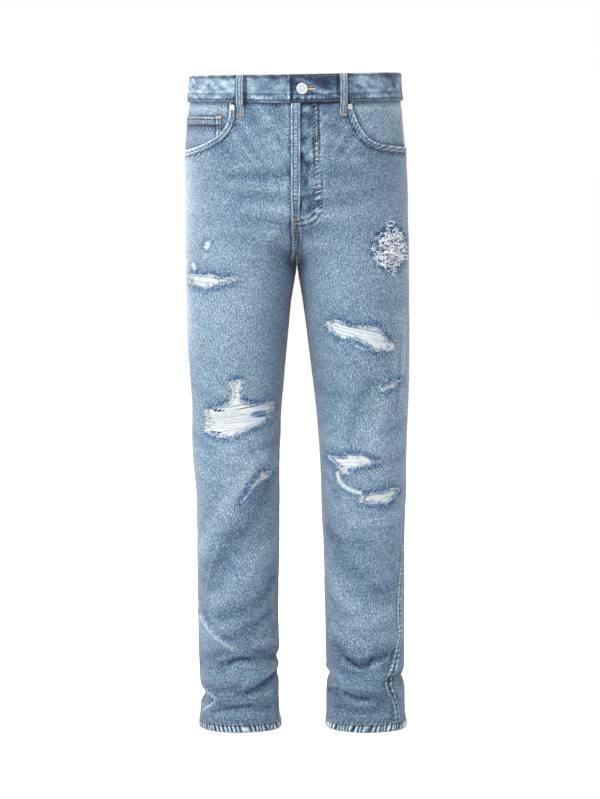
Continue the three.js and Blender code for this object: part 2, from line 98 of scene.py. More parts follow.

# A crease is (width, rise), then the degrees and the height of each point of its line.
# The largest folds, as in the imported CAD.
FOLDS = {
    "right": [
        (10, 3.5, 21, 190, 50, 163, 82, 138), (8, -4.5, 64, 106, 90, 118, 138, 120, 200, 112),
        (8, -3.5, 12, 104, 45, 120, 79, 130), (11, 3, 30, 88, 92, 92, 150, 98),
        (8, -4, 92, 64, 120, 78, 147, 92, 190, 88), (10, -8, -70, 60, -30, 54, 20, 54),
        (7, -3, 48, 48, 79, 38, 137, 39), (13, 3, 66, 172, 95, 195, 128, 225),
        (10, -4.5, -140, 128, -95, 112, -45, 124), (10, 3.5, -150, 86, -100, 74, -60, 88),
        (9, -3.5, -165, 46, -120, 40, -80, 50), (13, 3, -150, 180, -110, 160, -60, 172),
    ],
    "left": [
        (9, -5.5, 138, 137, 102, 108, 75, 119, 50, 127), (11, 3, 140, 168, 105, 142, 70, 148, 35, 158),
        (8, -4, 167, 62, 103, 58, 62, 52), (10, 3.5, 165, 100, 120, 82, 80, 84, 50, 96),
        (9, -5, -40, 92, 0, 84, 28, 80), (9, -5, 160, 90, 182, 84, 215, 90),
        (7, -3, 58, 108, 60, 80, 40, 46), (10, -4.5, -140, 130, -90, 112, -45, 126),
        (9, -4, -150, 60, -95, 48, -40, 56), (10, 3.5, -145, 96, -95, 82, -50, 92),
    ],
}
# Finer creases, too small for the CAD: short drags and wrinkles in the same form.
CREASES = {
    "right": [
        (4, 0.9, 88, 1004, 80, 985, 72, 968), (4, 0.8, 90, 990, 84, 965, 75, 945),
        (5, 0.8, 90, 962, 82, 940, 70, 925), (6, 0.9, 92, 930, 80, 915, 62, 905),
        (6, -0.9, 96, 900, 80, 893, 58, 890), (7, 1, 104, 872, 86, 872, 60, 880),
        (6, -0.9, 112, 850, 92, 856, 66, 860), (7, 1, 120, 828, 98, 838, 75, 842),
        (7, -1.1, 135, 800, 112, 815, 88, 822), (8, 1.1, 150, 775, 125, 792, 100, 800),
        (7, -1, 165, 745, 140, 766, 118, 776), (7, -0.9, 18, 560, 45, 545, 70, 540),
        (8, -1, 15, 480, 40, 470, 62, 455), (7, -1, 160, 470, 135, 462, 112, 452),
        (7, 0.9, 158, 430, 140, 418, 118, 400), (8, 0.8, 24, 430, 50, 415, 80, 410),
        (9, -0.8, 30, 330, 60, 318, 95, 322), (9, 0.8, 150, 300, 120, 285, 95, 280),
        (8, -1, 25, 250, 50, 236, 75, 232), (6, -1.3, 140, 192, 120, 176, 100, 168),
        (5, -1.2, 70, 150, 90, 158, 112, 160), (5, 1.2, 115, 140, 135, 146, 160, 140),
        (3.5, -1.2, 100, 128, 118, 131, 140, 130), (3.5, 1.1, 60, 118, 85, 126, 110, 128),
        (4, -1.3, 35, 70, 60, 66, 90, 76), (4, 1.2, 105, 60, 125, 58, 150, 66),
        (4, 0.9, 60, 28, 90, 25, 125, 28),
    ],
    "left": [
        (4, 0.8, 88, 1002, 78, 985, 68, 972), (5, 0.8, 86, 975, 76, 955, 66, 940),
        (6, 0.8, 88, 935, 76, 920, 60, 915), (6, -0.8, 96, 905, 80, 895, 60, 895),
        (7, 0.9, 104, 872, 84, 868, 60, 872), (6, -0.9, 114, 846, 94, 848, 68, 850),
        (7, 1, 126, 820, 104, 828, 80, 830), (7, -1, 140, 792, 118, 806, 96, 812),
        (8, 1, 158, 765, 132, 780, 108, 788), (8, -0.8, 20, 700, 42, 690, 66, 692),
        (8, -0.9, 160, 560, 135, 548, 110, 545), (8, -0.9, 18, 500, 40, 492, 70, 486),
        (7, 0.9, 160, 480, 135, 470, 115, 466), (7, -1, 20, 455, 42, 440, 58, 436),
        (7, -0.9, 150, 410, 135, 396, 125, 380), (9, 0.8, 40, 350, 70, 340, 105, 345),
        (9, -0.8, 150, 320, 120, 308, 88, 306), (9, 0.8, 60, 250, 90, 240, 125, 246),
        (8, -0.9, 145, 210, 115, 196, 85, 192), (6, 1, 60, 180, 85, 172, 110, 174),
        (4, 1.3, 120, 126, 100, 122, 85, 128), (4, -1.2, 80, 104, 100, 96, 125, 98),
        (4, 1.2, 70, 70, 95, 72, 125, 74), (5, -1.2, 75, 38, 105, 36, 140, 40),
        (4, 0.9, 60, 26, 85, 24, 110, 27),
    ],
}
# Sharp folds where the legs stack up above the hems: a dark line, painted as shade, with a roll of cloth
# below it.
SHARP = {
    "right": [
        (15, -2, 137, 399, 110, 345, 80, 300, 52, 262), (15, 2, 128, 445, 92, 390, 60, 335, 34, 296),
        (13, 2.4, 140, 300, 112, 262, 84, 232, 60, 215), (9, -2.6, 150, 246, 120, 214, 92, 196, 66, 186),
        (4, -1.3, 36, 192, 52, 174, 70, 159, 88, 146), (2.4, -3, 76, 111, 84, 117, 93, 120.5, 107, 118),
        (6, 1.5, 78, 104, 86, 109, 96, 112, 110, 110), (2.2, -2.8, 50, 31, 72, 38, 90, 42, 106, 42),
        (5, 1.2, 54, 25, 74, 31, 90, 35, 108, 35), (4.5, -2.8, 160, 91, 139, 82, 122, 71, 101, 63),
        (6, 1.5, 150, 100, 134, 92, 116, 82, 98, 74), (2.6, 1.6, 22, 62, 48, 55, 56, 48, 24, 28),
    ],
    "left": [
        (2.6, -1.1, 35, 640, 38, 600, 41, 560, 45, 520), (3.5, 1.6, 28, 650, 31, 600, 36, 545),
        (3.5, 1, 46, 630, 48, 585, 52, 545), (8, -1.6, 80, 566, 92, 545, 104, 492, 110, 470),
        (12, 1.2, 60, 560, 70, 500, 84, 440), (14, -1.5, 150, 330, 120, 270, 86, 236, 60, 228),
        (13, 2.2, 160, 262, 124, 212, 90, 190, 56, 190),
        (2.9, -3, 121, 119, 107, 110, 97, 107, 87, 109, 80, 121),
        (6, 1.4, 124, 112, 108, 102, 96, 99, 84, 102, 76, 113), (2.6, -1.8, 172, 58, 150, 66, 136, 68),
        (2.4, -2.4, 124, 64, 110, 58, 100, 55, 86, 54), (5.5, 1.3, 126, 57, 110, 51, 98, 48, 84, 47),
        (4.5, -3, 58, 85, 46, 89, 24, 90), (5, 2, 46, 100, 36, 108, 20, 112),
        (5, 1.6, 52, 74, 44, 66, 30, 58),
    ],
}
# Creases across the hidden back.
BACK_CREASES = [
    (9, -1.6, -150, 742, -120, 730, -80, 735), (10, 1.5, -160, 715, -125, 706, -85, 716),
    (9, -1.2, -155, 690, -120, 682, -80, 692), (8, -1.4, -150, 520, -110, 505, -60, 512),
    (9, 1.4, -155, 492, -105, 486, -45, 494), (8, -1.5, -150, 468, -100, 458, -50, 470),
    (9, 1.2, -140, 440, -95, 430, -40, 440), (8, -1.2, -150, 410, -105, 402, -60, 412),
    (10, 1, -140, 300, -100, 290, -55, 300), (9, -1.2, -145, 230, -100, 218, -50, 226),
    (7, 1.3, -150, 145, -105, 134, -60, 150), (6, 1.2, -140, 62, -100, 56, -60, 66),
]
# Crisp ridges worn pale, their paleness partly a painted highlight; their rise is a share of the usual one.
RIDGES = {
    "right": [
        (2.1, 1.35, 28, 186, 40, 172, 58, 156, 72, 145, 84, 133), (13, 0.35, 10, 178, 26, 160, 42, 144),
        (1.9, 1.3, 30, 66, 44, 60, 54, 52, 46, 42, 28, 30), (8, 0.4, 12, 64, 30, 50, 18, 36),
        (2.2, 0.6, 24, 150, 38, 136, 50, 128), (2.2, 0.6, 160, 100, 146, 92, 132, 86),
        (2.6, 0.5, 62, 300, 50, 270, 40, 236),
    ],
    "left": [
        (1.7, 1, 34, 236, 39, 224, 35, 212, 40, 198, 37, 180),
        (1.8, 0.9, 44, 140, 57, 116, 64, 88, 60, 68, 50, 48), (5, 0.35, 66, 112, 90, 101, 112, 103),
        (2, 0.7, 82, 104, 70, 112, 58, 116), (2.2, 0.5, 126, 70, 110, 64, 94, 62),
        (2.2, 0.6, 168, 66, 152, 72, 138, 74),
    ],
}

def ease(t):
    """A smooth step from 0 to 1."""
    s = np.clip(t, 0.0, 1.0)
    return s * s * (3 - 2 * s)


def bell(value, middle, width):
    """A smooth hill, 1 high at its middle."""
    return np.exp(-(((value - middle) / width) ** 2))


def hills(value, *shapes):
    """The sum of hills and hollows, each a (rise, middle, width)."""
    return sum(rise * bell(value, middle, width) for rise, middle, width in shapes)


def wrapped(angle):
    """The same angle, from -pi to pi."""
    return np.arctan2(np.sin(angle), np.cos(angle))


def unit(vectors):
    return vectors / np.maximum(np.linalg.norm(vectors, axis=-1, keepdims=True), 1e-12)


def smooth_through(pairs, height):
    """A smooth curve through (height, value) pairs, at one height or an array of them."""
    xs = np.array([p[0] for p in pairs], float)
    ys = np.array([p[1] for p in pairs], float)
    slopes = np.empty_like(ys)
    slopes[1:-1] = (ys[2:] - ys[:-2]) / (xs[2:] - xs[:-2])
    slopes[0] = (ys[1] - ys[0]) / (xs[1] - xs[0])
    slopes[-1] = (ys[-1] - ys[-2]) / (xs[-1] - xs[-2])
    i = np.clip(np.searchsorted(xs, height, side="right") - 1, 0, len(xs) - 2)
    span = xs[i + 1] - xs[i]
    t = np.clip((height - xs[i]) / span, 0, 1)
    t2, t3 = t * t, t * t * t
    return (
        (2 * t3 - 3 * t2 + 1) * ys[i]
        + (t3 - 2 * t2 + t) * span * slopes[i]
        + (3 * t2 - 2 * t3) * ys[i + 1]
        + (t3 - t2) * span * slopes[i + 1]
    )


def rise_angle(height, rise):
    """Where the section of one leg meets the middle plane, above the crotch."""
    climb = np.clip((height - CROTCH) / rise, 0, 1)
    share = np.sqrt(1 - (1 - climb) ** 2)
    return np.pi - np.arcsin(share ** (smooth_through(FORM["square"], height) / 2))


def section(side, angle, height):
    """A point of the smooth form: reach from the middle plane, and depth."""
    angle, height = np.broadcast_arrays(np.asarray(angle, float), np.asarray(height, float))
    outer = smooth_through(FORM[side + " outer"], height)
    below = height < CROTCH
    inner = np.where(below, smooth_through(FORM[side + " inner"], height), 0.0)
    front = smooth_through(FORM["front"], height)
    back = smooth_through(FORM["back"], height)
    power = 2 / smooth_through(FORM["square"], height)
    c, s = np.cos(angle), np.sin(angle)
    rise = np.where(s >= 0, FRONT_RISE, BACK_RISE)
    centre = (outer + inner) / 2 * (1 - ease((height - CROTCH) / rise))
    share = np.abs(c) ** power
    y = (front + back) / 2 - np.sign(s) * (back - front) / 2 * np.abs(s) ** power
    full = np.maximum(np.abs(np.cos(rise_angle(height, rise))) ** power, 1e-6)
    inside = np.where(below, centre - (centre - inner) * share, centre * (1 - share / full))
    return np.where(c >= 0, centre + (outer - centre) * share, inside), y


def outward(side, angle, height, step=0.01):
    """The level direction out of the smooth form."""
    x1, y1 = section(side, angle + step, height)
    x0, y0 = section(side, angle - step, height)
    along = unit(np.stack([x1 - x0, y1 - y0], -1))
    return -along[..., 1], along[..., 0]

def line_distance(line, angle, height):
    """Millimetres over the cloth to a line of (degrees, height) points."""
    nearest = np.full(np.shape(angle), np.inf)
    for (a0, h0), (a1, h1) in zip(line, line[1:]):
        x = wrapped(angle - a0 * DEGREE) * LEG_RADIUS
        y = height - h0
        dx, dy = (a1 - a0) * DEGREE * LEG_RADIUS, h1 - h0
        t = np.clip((x * dx + y * dy) / (dx * dx + dy * dy), 0, 1)
        nearest = np.minimum(nearest, np.hypot(x - t * dx, y - t * dy))
    return nearest


def raised(creases, angle, height):
    total = np.zeros(np.shape(angle))
    for width, rise, *line in creases:
        points = list(zip(line[::2], line[1::2]))
        total += rise * bell(line_distance(points, angle, height), 0, width)
    return total


def ripple(u, v, size, seed):
    """Smooth noise from -1 to 1 over a plane, with lumps of about that size."""
    table = np.random.default_rng(seed).uniform(-1, 1, (256, 256))
    x, y = np.asarray(u) / size, np.asarray(v) / size
    i, j = np.floor(x).astype(int), np.floor(y).astype(int)
    fx, fy = ease(x - i), ease(y - j)
    at = lambda a, b: table[a % 256, b % 256]
    low = at(i, j) * (1 - fx) + at(i + 1, j) * fx
    high = at(i, j + 1) * (1 - fx) + at(i + 1, j + 1) * fx
    return low * (1 - fy) + high * fy

def waves(along, pitch, sway, size, seed, across=0.0):
    """Waves of that pitch along the cloth; their phase sways with a smooth noise."""
    return np.sin(2 * np.pi * along / pitch + sway * ripple(along, across, size, seed))


def angle_at(side, reach, height, facing="front"):
    """The angle where the front (or back) of one side reaches so far from the middle plane."""
    turn = 1 if facing == "front" else -1
    low = np.zeros(np.broadcast(reach, height).shape)
    high = low + np.pi
    for _ in range(HALVINGS):
        middle = (low + high) / 2
        beyond = section(side, turn * middle, height)[0] > reach
        low, high = np.where(beyond, middle, low), np.where(beyond, high, middle)
    return turn * low


def inseam(side, height):
    """The angle of the inseam."""
    return smooth_through(INSEAM[side], height) * DEGREE


def inner_edge(side, height, facing):
    """The angle of a panel's inner edge: inseam up to the crotch, rise seam above it."""
    if facing == "front":
        return np.where(height < CROTCH, inseam(side, height), rise_angle(height, FRONT_RISE))
    return np.where(height < CROTCH, inseam(side, height) - 2 * np.pi, -rise_angle(height, BACK_RISE))


def outer_edge(side, height):
    return smooth_through(OUTSEAM[side], height) * DEGREE


def stretch(side, angle, height, step=0.03):
    """Millimetres of cloth to one radian there."""
    x1, y1 = section(side, angle + step, height)
    x0, y0 = section(side, angle - step, height)
    return np.hypot(x1 - x0, y1 - y0) / (2 * step)

def seam_distance(side, seam, angle, height):
    """Millimetres over the cloth to a long seam, given as its angle at each height."""
    return np.abs(wrapped(angle - seam)) * stretch(side, seam, height)


# ---- outlines on the front, as (reach, height) ----

MOUTH = {
    "right": [
        (106, 1015), (106, 998), (109, 979), (117, 965),
        (126, 956), (143, 946), (159, 939), (190, 930),
    ],
    "left": [
        (86, 1015), (88, 998), (94, 982), (102, 966),
        (112, 954), (123, 947), (140, 942), (190, 937),
    ],
}
RIPS = {
    "right": {
        "thigh": [
            (167, 737), (138, 738), (127, 733), (103, 734),
            (102, 728), (129, 721), (144, 716), (167, 720),
        ],
        "knee": [
            (106, 567), (90, 571), (93, 560), (94, 549), (92, 541), (84, 534), (72, 530),
            (41, 533), (47, 509), (57, 499), (85, 488), (103, 479), (121, 478), (144, 487),
            (140, 505), (142, 523), (116, 529), (104, 536), (100, 545), (101, 556),
        ],
        "below_knee": [(41, 417), (67, 400), (91, 368), (69, 406), (57, 421)],
    },
    "left": {
        "upper_thigh": [(155, 808), (171, 791), (172, 771), (152, 744), (118, 779)],
        "thigh": [
            (51, 662), (63, 666), (81, 657), (126, 655), (134, 643), (149, 629),
            (144, 617), (126, 617), (110, 629), (93, 636), (71, 637), (57, 647),
        ],
        "above_knee": [(137, 552), (138, 560), (151, 568), (163, 568), (153, 557)],
        "knee": [
            (50, 446), (76, 445), (84, 451), (104, 451), (118, 443), (130, 439),
            (107, 432), (90, 429), (79, 426), (76, 419), (69, 433), (62, 439),
        ],
        "below_knee": [
            (105, 374), (107, 383), (119, 388), (136, 388),
            (152, 395), (162, 391), (156, 382), (145, 371),
        ],
    },
}
# Lines worn through to white threads without a hole, each with its half width.
WORN = {
    "right": [([(141, 787), (143, 781)], 3.0), ([(165, 752), (162, 744), (159, 739)], 2.4)],
    "left": [
        ([(65, 420), (67, 408), (75, 399), (88, 392), (100, 389), (107, 383)], 2.6),
        ([(63, 637), (70, 629), (78, 631)], 1.0),
        ([(88, 630), (99, 622), (112, 617)], 1.2),
        ([(151, 740), (154, 736)], 1.8),
    ],
}
PAST_SIDE, PAST_TOP = 200, 1030  # a reach and a height outside the front panels
# The worn net on the left thigh: half its width and height, and the height of its middle.
NET_WIDE, NET_TALL, NET_HEIGHT = 33, 40, 780
# The middle of the fly's double J row.
J_MIDDLE = np.array(
    [(28, 1012), (30, 960), (33, 900), (34.5, 862), (32.5, 838), (26, 825.5), (17.5, 820), (4, 819)]
)


def curve_through(points, count):
    """A Catmull-Rom curve through the points."""
    p = np.array([points[0], *points, points[-1]], float)
    out = []
    for t in np.linspace(0, len(points) - 1 - 1e-6, count):
        i, f = int(t), t - int(t)
        a, b, c, d = p[i : i + 4]
        bend = (2 * a - 5 * b + 4 * c - d) * f**2 + (3 * b - a - 3 * c + d) * f**3
        out.append(0.5 * (2 * b + (c - a) * f + bend))
    return np.array(out)


def along_outline(points, step):
    """Points about a step apart along a closed outline."""
    out = []
    for a, b in zip(points, np.roll(points, -1, axis=0)):
        count = max(1, int(np.hypot(*(b - a)) / step))
        out += [a + (b - a) * i / count for i in range(count)]
    return np.array(out)


def inside_outline(points, x, y):
    inside = np.zeros(np.shape(x), bool)
    for (x0, y0), (x1, y1) in zip(points, np.roll(points, -1, axis=0)):
        crosses = (y0 > y) != (y1 > y)
        rise = y1 - y0 if y1 != y0 else 1e-9
        inside ^= crosses & (x < x0 + (y - y0) * (x1 - x0) / rise)
    return inside


def nearest_on(points, x, y, closed=True):
    """The nearest point of an outline or a line, and how far it is."""
    ends = np.roll(points, -1, axis=0) if closed else points[1:]
    best = np.full(np.shape(x), 1e9)
    px, py = np.array(x, float), np.array(y, float)
    for (x0, y0), (x1, y1) in zip(points, ends):
        dx, dy = x1 - x0, y1 - y0
        t = np.clip(((x - x0) * dx + (y - y0) * dy) / max(dx * dx + dy * dy, 1e-9), 0, 1)
        qx, qy = x0 + t * dx, y0 + t * dy
        far = np.hypot(x - qx, y - qy)
        closer = far < best
        best = np.where(closer, far, best)
        px, py = np.where(closer, qx, px), np.where(closer, qy, py)
    return px, py, best

def distance_to(points, x, y, closed=False):
    return nearest_on(points, x, y, closed)[2]


def above_mouth(edge):
    """The region above a pocket's mouth, out past the side seam."""
    corners = [(PAST_SIDE, edge[-1][1]), (PAST_SIDE, PAST_TOP), (edge[0][0], PAST_TOP)]
    return np.vstack([edge, corners])


def ragged(points, seed):
    """A rip's outline with a frayed, uneven edge."""
    fine = along_outline(np.array(points, float), 2.5)
    return fine + np.random.default_rng(seed).uniform(-0.9, 0.9, fine.shape)


MOUTH_EDGE = {side: curve_through(points, 40) for side, points in MOUTH.items()}
RAGGED = {
    side: {name: ragged(points, 11 + 7 * i) for i, (name, points) in enumerate(rips.items())}
    for side, rips in RIPS.items()
}

# ---- relief: everything that lifts or sinks the cloth from the smooth form ----

SEED = {"right": 3, "left": 5}  # the first seed of each side's noise
PUCKER_PITCH = 7.0
GATHER_PITCH = 2 * math.pi / 1.15
MOUTH_LOW = 900.0  # a pocket's mouth and its stitching stay above this height


def seam_profile(distance, along, seed, strength):
    """Relief beside a seam: a groove on the seam and a lumpy, felled ridge beside it."""
    lumps = 0.55 + 0.45 * waves(along, PUCKER_PITCH, 2.2, 19, seed)
    ridge = bell(distance, 4.2, 3.0) * (0.5 + 0.55 * lumps) - 0.7 * bell(distance, 0, 1.0)
    return strength * (ridge + 0.35 * bell(distance, 11, 6.0) * waves(along, 11, 3, 31, seed + 1))


def mouth_gathers(side, along):
    """Puckers beside a pocket mouth's stitching."""
    return waves(along, GATHER_PITCH, 2, 14, SEED[side] + 4)


def rise_steps(height):
    """Puckers down the rise seam below the fly."""
    return waves(height, 5.4, 2, 14, 24)


def hem_drag(across, height, seed):
    """Slanting puckers just above a hem."""
    return np.sin(2 * np.pi * (across + 0.5 * height) / 8.5 + 2 * ripple(across, height, 16, seed))


def fly_zone(reach, height, on_front):
    """Relief and tone of the left front: the J row's ladder of puckers, dark cloth inside it, and a painted
    shadow beside the fly strip.
    """
    far = distance_to(J_MIDDLE, reach, height)
    steps = waves(height + 1.2 * reach, 6.2, 2.4, 19, 17)
    ladder = bell(far, 0, 3.2)
    inside = on_front * ease((33 - reach) / 6) * ease((reach - 3) / 3) * ease((height - 826) / 12)
    patches = ripple(reach, height * 0.5, 6.5, 18) + 0.5 * ripple(reach, height, 4, 19)
    lift = on_front * (0.8 * steps * ladder - 0.5 * bell(far, 3.6, 0.9)) + 0.9 * patches * inside
    tone = (0.56 * steps + 0.12) * ladder + hills(far, (-0.56, 4.2, 1.2), (0.10, 7.5, 2.2))
    # painted shadow beside the fly strip's edge
    tone -= 0.22 * bell(reach, 6.2, 1.6) * ease((height - 820) / 5)
    dark = 0.27 * patches - 0.15 - 0.05 * ease((height - 950) / 60)
    return lift, on_front * tone + inside * dark


def relief(side, angle, height):
    """Millimetres that the cloth of a leg panel stands out of the smooth form."""
    angle, height = np.broadcast_arrays(np.asarray(angle, float), np.asarray(height, float))
    reach = section(side, angle, height)[0]
    across, seed = angle * LEG_RADIUS, SEED[side]
    on_front = np.sin(angle) > -0.1
    total = raised(FOLDS[side] + SHARP[side] + BACK_CREASES, angle, height)
    total += 1.5 * raised(CREASES[side], angle, height) + 0.9 * raised(RIDGES[side], angle, height)
    total += 0.55 * ripple(across, height * 0.6, 26, seed) + 0.22 * ripple(across, height, 9, seed + 20)
    far = distance_to(MOUTH_EDGE[side], reach, height)
    gathers = mouth_gathers(side, height + reach)
    mouth = hills(far, (1.2, 1.2, 2.0), (-0.5, 4.6, 1.0), (-0.6, 9.8, 1.0))
    mouth += 0.7 * bell(far, 7, 2.0) * (1 + 0.8 * gathers) + 0.95 * bell(far, 13, 3.6) * gathers
    total += mouth * (on_front & (height > MOUTH_LOW))
    if side == "left":
        total += fly_zone(reach, height, on_front)[0]
    else:
        felled = 0.9 * ease((8.8 - reach) / 1.5) - 0.5 * bell(reach, 10, 1.4)
        felled += 0.4 * rise_steps(height) * bell(reach, 4, 2.4)
        below_fly = ease((FLY_BOTTOM + 2 - height) / 4) * ease((height - CROTCH + 2) / 8)
        total += on_front * below_fly * felled
    inner = seam_distance(side, inseam(side, height), angle, height)
    outer = seam_distance(side, outer_edge(side, height), angle, height)
    total += (height < CROTCH) * seam_profile(inner, height, seed + 6, 0.9)
    total += seam_profile(outer, height, seed + 8, 0.75)
    top = np.clip(BAND_BOTTOM - height, 0, None)
    total += 0.5 * bell(top, 0, 9) * ripple(across * 1.3, height * 0.25, 6.5, seed + 9)
    above_hem = np.clip(height - HEM_HEIGHT, 0, None)
    return total + 0.7 * bell(above_hem, 0, 8) * hem_drag(across, height, seed + 10)


def waist_rise(x, y, height):
    """How far the waist is drawn up: it dips at the front and stands a little higher on the left."""
    across = np.clip(x / 175, -1, 1)
    square = np.where(y < 0, across**2, 1)
    low = -3.0 + 5.2 * square + 1.1 * across
    tall = 5.0 - 2.7 * square + 1.8 * across
    return low * ease((height - 930) / 80) + tall * np.clip((height - BAND_BOTTOM) / BAND_HEIGHT, 0, 1)


def place(side, angle, height, out=0.0, lift=None):
    """Points in metres, moved out of the relief by some millimetres."""
    x, y = section(side, angle, height)
    nx, ny = outward(side, angle, height)
    rise = (relief(side, angle, height) if lift is None else lift) + out
    x, y = x + nx * rise, y + ny * rise
    height = np.broadcast_to(height, np.shape(x))
    height = height + waist_rise(SIGN[side] * x, y, height)
    return np.stack([SIGN[side] * x, y, height - HOLD_HEIGHT], -1) * MM


# ---- meshes ----


def make_mesh(name, points, faces, values):
    """A mesh object from points, a face array, and named values for its points."""
    mesh = bpy.data.meshes.new(name)
    mesh.vertices.add(len(points))
    mesh.vertices.foreach_set("co", np.asarray(points, np.float32).ravel())
    mesh.loops.add(faces.size)
    mesh.loops.foreach_set("vertex_index", faces.astype(np.int32).ravel())
    mesh.polygons.add(len(faces))
    mesh.polygons.foreach_set("loop_start", np.arange(0, faces.size, faces.shape[1], dtype=np.int32))
    mesh.update(calc_edges=True)
    for key, data in values.items():
        kind, field = ("FLOAT", "value") if np.ndim(data) == 1 else ("FLOAT_VECTOR", "vector")
        attribute = mesh.attributes.new(key, kind, "POINT")
        attribute.data.foreach_set(field, np.asarray(data, np.float32).ravel())
    mesh.polygons.foreach_set("use_smooth", np.ones(len(faces), bool))
    piece = bpy.data.objects.new(name, mesh)
    bpy.context.scene.collection.objects.link(piece)
    return piece


def grid_faces(rows, columns, closed=False):
    index = np.arange(rows * columns).reshape(rows, columns)
    if closed:
        index = np.hstack([index, index[:, :1]])
    a, b = index[:-1, :-1], index[:-1, 1:]
    c, d = index[1:, 1:], index[1:, :-1]
    return np.stack([a, b, c, d], -1).reshape(-1, 4)


def shell(name, outside, inside, faces, values):
    """A closed wall of cloth between two layers of points that share their faces."""
    used = np.unique(faces)
    count = len(used)
    renumber = np.full(len(outside), -1)
    renumber[used] = np.arange(count)
    faces = renumber[faces]
    edges = np.concatenate([faces[:, [i, (i + 1) % 4]] for i in range(4)])
    key = np.sort(edges, axis=1) @ np.array([count, 1])
    _, first, uses = np.unique(key, return_index=True, return_counts=True)
    rim = edges[first[uses == 1]]
    sides = np.stack([rim[:, 1], rim[:, 0], rim[:, 0] + count, rim[:, 1] + count], -1)
    everything = np.concatenate([faces, faces[:, ::-1] + count, sides])
    points = np.concatenate([outside[used], inside[used]])
    a, b, c, d = (points[everything[:, i]] for i in range(4))
    volume = (np.cross(b - a, c - a) * a).sum() + (np.cross(c - a, d - a) * a).sum()
    if volume < 0:
        everything = everything[:, ::-1]
    both = {k: np.concatenate([v[used], v[used]]) for k, v in values.items()}
    both["lining"] = np.concatenate([np.zeros(count), np.ones(count)])
    piece = make_mesh(name, points, everything, both)
    piece.data.set_sharp_from_angle(angle=50 * DEGREE)
    return piece


def tubes(name, paths, radius, sides, shade):
    """Many closed tubes in one mesh. paths is (tubes, points, 3); radius and shade fit (tubes, points)."""
    paths = np.asarray(paths, float)
    many, count, _ = paths.shape
    along = unit(np.gradient(paths, axis=1))
    up = np.where(np.abs(along[..., 2:]) > 0.8, (1.0, 0, 0), (0, 0, 1.0))
    first = unit(np.cross(along, up))
    second = np.cross(along, first)
    turn = np.arange(sides) / sides * 2 * np.pi
    radius = np.broadcast_to(radius, (many, count))[..., None, None]
    ring = first[:, :, None] * np.cos(turn)[:, None] + second[:, :, None] * np.sin(turn)[:, None]
    points = (paths[:, :, None] + ring * radius).reshape(-1, 3)
    index = np.arange(many * count * sides).reshape(many, count, sides)
    after = np.roll(index, -1, axis=2)
    walls = np.stack([index[:, :-1], after[:, :-1], after[:, 1:], index[:, 1:]], -1).reshape(-1, 4)
    start = index[:, 0, ::-1].reshape(-1, sides)
    end = index[:, -1].reshape(-1, sides)
    if sides == 3:
        start, end = (np.concatenate([f, f[:, :1]], 1) for f in (start, end))
    faces = np.concatenate([walls, start[:, :4], end[:, :4]])
    return make_mesh(name, points, faces, {"shade": np.repeat(np.asarray(shade).ravel(), sides)})


def finish_piece(piece, material, slot, *replaced):
    piece.data.materials.append(material)
    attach(piece, "root")
    if replaced:
        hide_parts(*replaced)
    return piece


# ---- materials ----

# Washed denim from raw indigo to bare cotton, as (tone, linear colour).
DENIM_RAMP = [
    (0.0, (0.004, 0.010, 0.027)),
    (0.22, (0.024, 0.051, 0.097)),
    (0.42, (0.065, 0.113, 0.172)),
    (0.58, (0.119, 0.180, 0.236)),
    (0.76, (0.217, 0.288, 0.340)),
    (0.92, (0.370, 0.414, 0.437)),
    (1.0, (0.488, 0.511, 0.511)),
]
LINING_TONE = 0.72
TWILL_SCALE = 0.5  # about one diagonal line to a millimetre
TWILL_LEAN = 0.35  # how far the worn flecks of the twill lean, in radians


class Nodes:
    """A short way to write a node material, with inputs set or linked by name."""

    def __init__(self, name):
        self.material = bpy.data.materials.new(name)
        self.material.use_nodes = True
        self.tree = self.material.node_tree
        self.shader = self.tree.nodes["Principled BSDF"]

    def fill(self, node, inputs):
        for name, value in inputs.items():
            if isinstance(value, bpy.types.NodeSocket):
                self.tree.links.new(value, node.inputs[name])
            else:
                node.inputs[name].default_value = value

    def add(self, kind, inputs, **settings):
        node = self.tree.nodes.new("ShaderNode" + kind)
        for key, value in settings.items():
            setattr(node, key, value)
        self.fill(node, inputs)
        return node

    def attribute(self, name, output="Fac"):
        return self.add("Attribute", {}, attribute_name=name).outputs[output]

    def position(self):
        return self.add("NewGeometry", {}).outputs["Position"]

    def math(self, operation, a, b, clamp=False):
        return self.add("Math", {0: a, 1: b}, operation=operation, use_clamp=clamp).outputs[0]

    def sum(self, *parts):
        total = parts[0]
        for part in parts[1:]:
            total = self.math("ADD", total, part)
        return total

    def times(self, value, factor):
        return self.math("MULTIPLY", value, factor)

    def noise(self, vector, scale, detail, rough):
        inputs = {"Vector": vector, "Scale": scale, "Detail": detail, "Roughness": rough}
        return self.math("SUBTRACT", self.add("TexNoise", inputs).outputs["Fac"], 0.5)

    def scaled(self, vector, x, y, z, turn=0.0):
        inputs = {"Vector": vector, "Scale": (x, y, z), "Rotation": (0, 0, turn)}
        return self.add("Mapping", inputs).outputs["Vector"]

    def ramp(self, factor, stops):
        """A colour ramp through stops of a tone and its colour."""
        node = self.add("ValToRGB", {"Fac": factor})
        for element, (_, colour) in zip(node.color_ramp.elements, (stops[0], stops[-1])):
            element.color = (*colour, 1)
        for tone, colour in stops[1:-1]:
            node.color_ramp.elements.new(tone).color = (*colour, 1)
        return node.outputs["Color"]

    def mix(self, share, first, second):
        inputs = {"Factor": share, "A": (*first, 1), "B": (*second, 1)}
        return self.add("Mix", inputs, data_type="RGBA").outputs["Result"]

    def surface(self, colour, height, strength, distance, **values):
        """Fills the shader; a value's name has _ for each space."""
        bump = self.add("Bump", {"Height": height, "Strength": strength, "Distance": distance})
        self.fill(self.shader, {"Base Color": colour, "Normal": bump.outputs["Normal"]})
        self.fill(self.shader, {name.replace("_", " "): value for name, value in values.items()})
        return self.material


